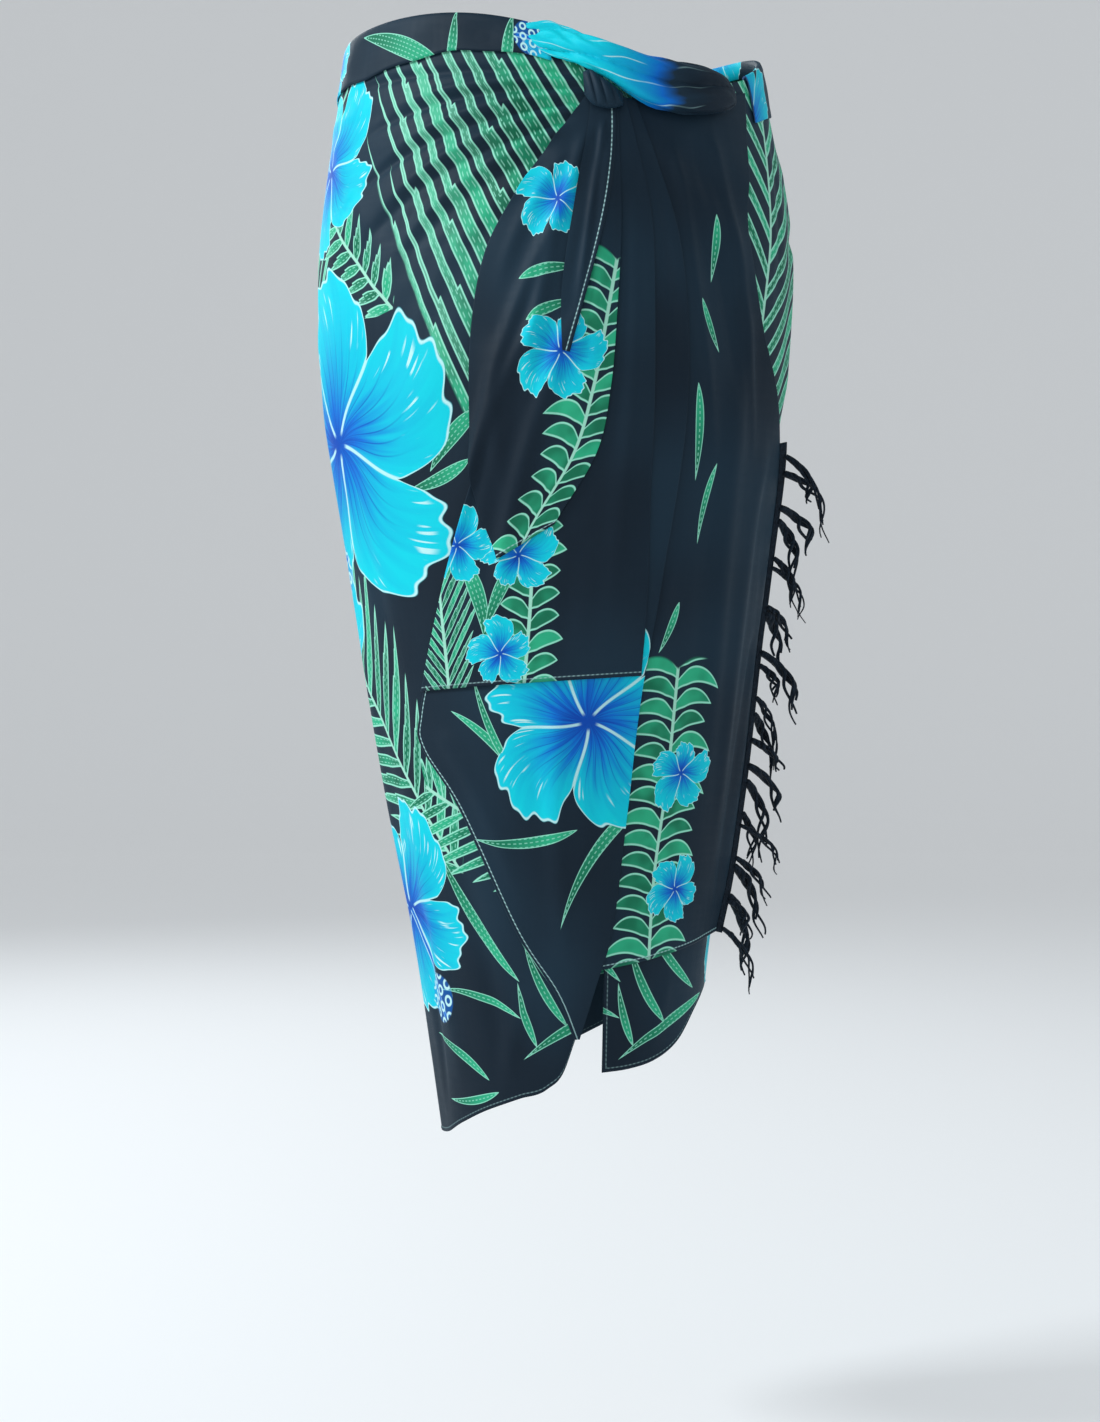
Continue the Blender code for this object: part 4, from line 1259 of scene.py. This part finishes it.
def make_lights():
    def area(name, place_at, size, power, aim=Vector((0, 0, -0.4))):
        lamp = bpy.data.lights.new(name, "AREA")
        lamp.size = size
        lamp.energy = power
        lamp.color = (0.92, 0.97, 1.0)
        made = new_object(name, lamp)
        made.location = place_at
        made.rotation_euler = (aim - Vector(place_at)).to_track_quat("-Z", "Y").to_euler()

    area("key", (-2.3, -1.5, 1.4), 0.8, 84)
    area("front_fill", (1.1, -2.8, 0.3), 1.8, 12)
    area("back_fill", (-2.0, 2.0, 1.3), 1.4, 36)
    area("side_fill", (2.4, 0.8, 0.6), 1.8, 10)
    world = bpy.data.worlds.new("pale")
    world.use_nodes = True
    world.node_tree.nodes["Background"].inputs["Color"].default_value = (0.86, 0.94, 1.0, 1.0)
    world.node_tree.nodes["Background"].inputs["Strength"].default_value = 0.42
    bpy.context.scene.world = world


def make_backdrop(finish):
    """A pale sheet that runs level under the garment and sweeps up behind it all round."""
    around, along = np.meshgrid(np.linspace(0, 2 * math.pi, 97)[:-1], np.linspace(0, 1, 40))
    sweep = np.clip((along - 0.6) / 0.4, 0, 1) * math.pi / 2
    reach = 7.0 * np.minimum(along / 0.6, 1.0) + 2.2 * np.sin(sweep)
    rise = 4.5 * (1 - np.cos(sweep))
    points = np.stack([reach * np.cos(around), reach * np.sin(around), FLOOR + rise], -1).reshape(-1, 3)
    quads = ring_quads(np.arange(around.size).reshape(around.shape))
    new_mesh("backdrop", points, quads.tolist(), finish)


def corners(box):
    return [[float(value) for value in corner] for corner in box]


def main():
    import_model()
    groups = {
        Flower: hibiscus_group(), Frond: frond_group(), Blade: blade_group(), "hem": hem_group(),
        "weave": weave_group(),
    }
    wrap_cloth = [
        printed_cloth(f"wrap_cloth_{zone + 1}", groups, rows_of_zone(WRAP_PRINT, zone), REPEAT, 0.25)
        for zone in range(ZONES)
    ]
    band_cloth = printed_cloth("band_cloth", groups, BAND_PRINT, REPEAT, 0.0)
    fringed_cloth = printed_cloth("fringed_cloth", groups, FRINGED_PRINT, NO_REPEAT, 0.6)
    long_cloth = printed_cloth("long_cloth", groups, LONG_PRINT, NO_REPEAT, 0.8)
    short_cloth = printed_cloth("short_cloth", groups, SHORT_PRINT, NO_REPEAT, 0.4)
    wide_cloth = printed_cloth("wide_cloth", groups, WIDE_PRINT, NO_REPEAT, 0.6)
    plain_cloth = printed_cloth("plain_cloth", groups, (), NO_REPEAT, 0.7)
    blue_cloth = rolled_cloth("blue_cloth", groups)
    dark_yarn = yarn("dark_yarn")

    wrap = make_wrap(wrap_cloth)
    band = make_band(band_cloth)
    roll = swept_bulge("waist_roll_twisted", ROLL, 170, 72, roll_section, blue_cloth)
    neck = swept_bulge("knot_neck", NECK, 60, 60, neck_section, plain_cloth)
    fringed, long_one, short_one, wide, narrow = (make_fall(*fall) for fall in (
        ("fringed_end", FRINGED_FALL, 84, 130, fringed_lift, "left", (True, False, True), fringed_cloth),
        ("long_hanging_fall", LONG_FALL, 76, 130, long_lift, "wrap", (True, False, False), long_cloth),
        ("short_hanging_fall", SHORT_FALL, 76, 100, short_lift, "right", (False, False, True), short_cloth),
        ("wide_pointed_tail", WIDE_TAIL, 60, 90, wide_lift, "right", (False, False, True), wide_cloth),
        ("narrow_pointed_tail", NARROW_TAIL, 24, 60, narrow_lift, "right", (False, True, False), plain_cloth),
    ))
    fringe = make_fringe(dark_yarn)

    stands_for = {
        wrap: ("wrap", "printed_cloth"), band: ("waist_band", "printed_cloth"),
        roll: ("waist_roll", "rolled_cloth"), neck: ("knot", "rolled_cloth"),
        fringed: ("fringed_fall", "printed_cloth"),
        long_one: ("long_fall", "printed_cloth"), short_one: ("short_fall", "printed_cloth"),
        wide: ("wide_tail", "printed_cloth"), narrow: ("narrow_tail", "printed_cloth"),
        fringe: ("fringe", "fringe_yarn"),
    }
    for piece, (node, slot) in stands_for.items():
        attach(piece, "root")
        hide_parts(node)

    make_backdrop(glowing("pale_backdrop", (0.60, 0.61, 0.62, 1.0), 0.8, 0.24))
    make_lights()
    make_camera()
    # This transform keeps the strong blues of the print.
    bpy.context.scene.view_settings.view_transform = "Standard"


main()
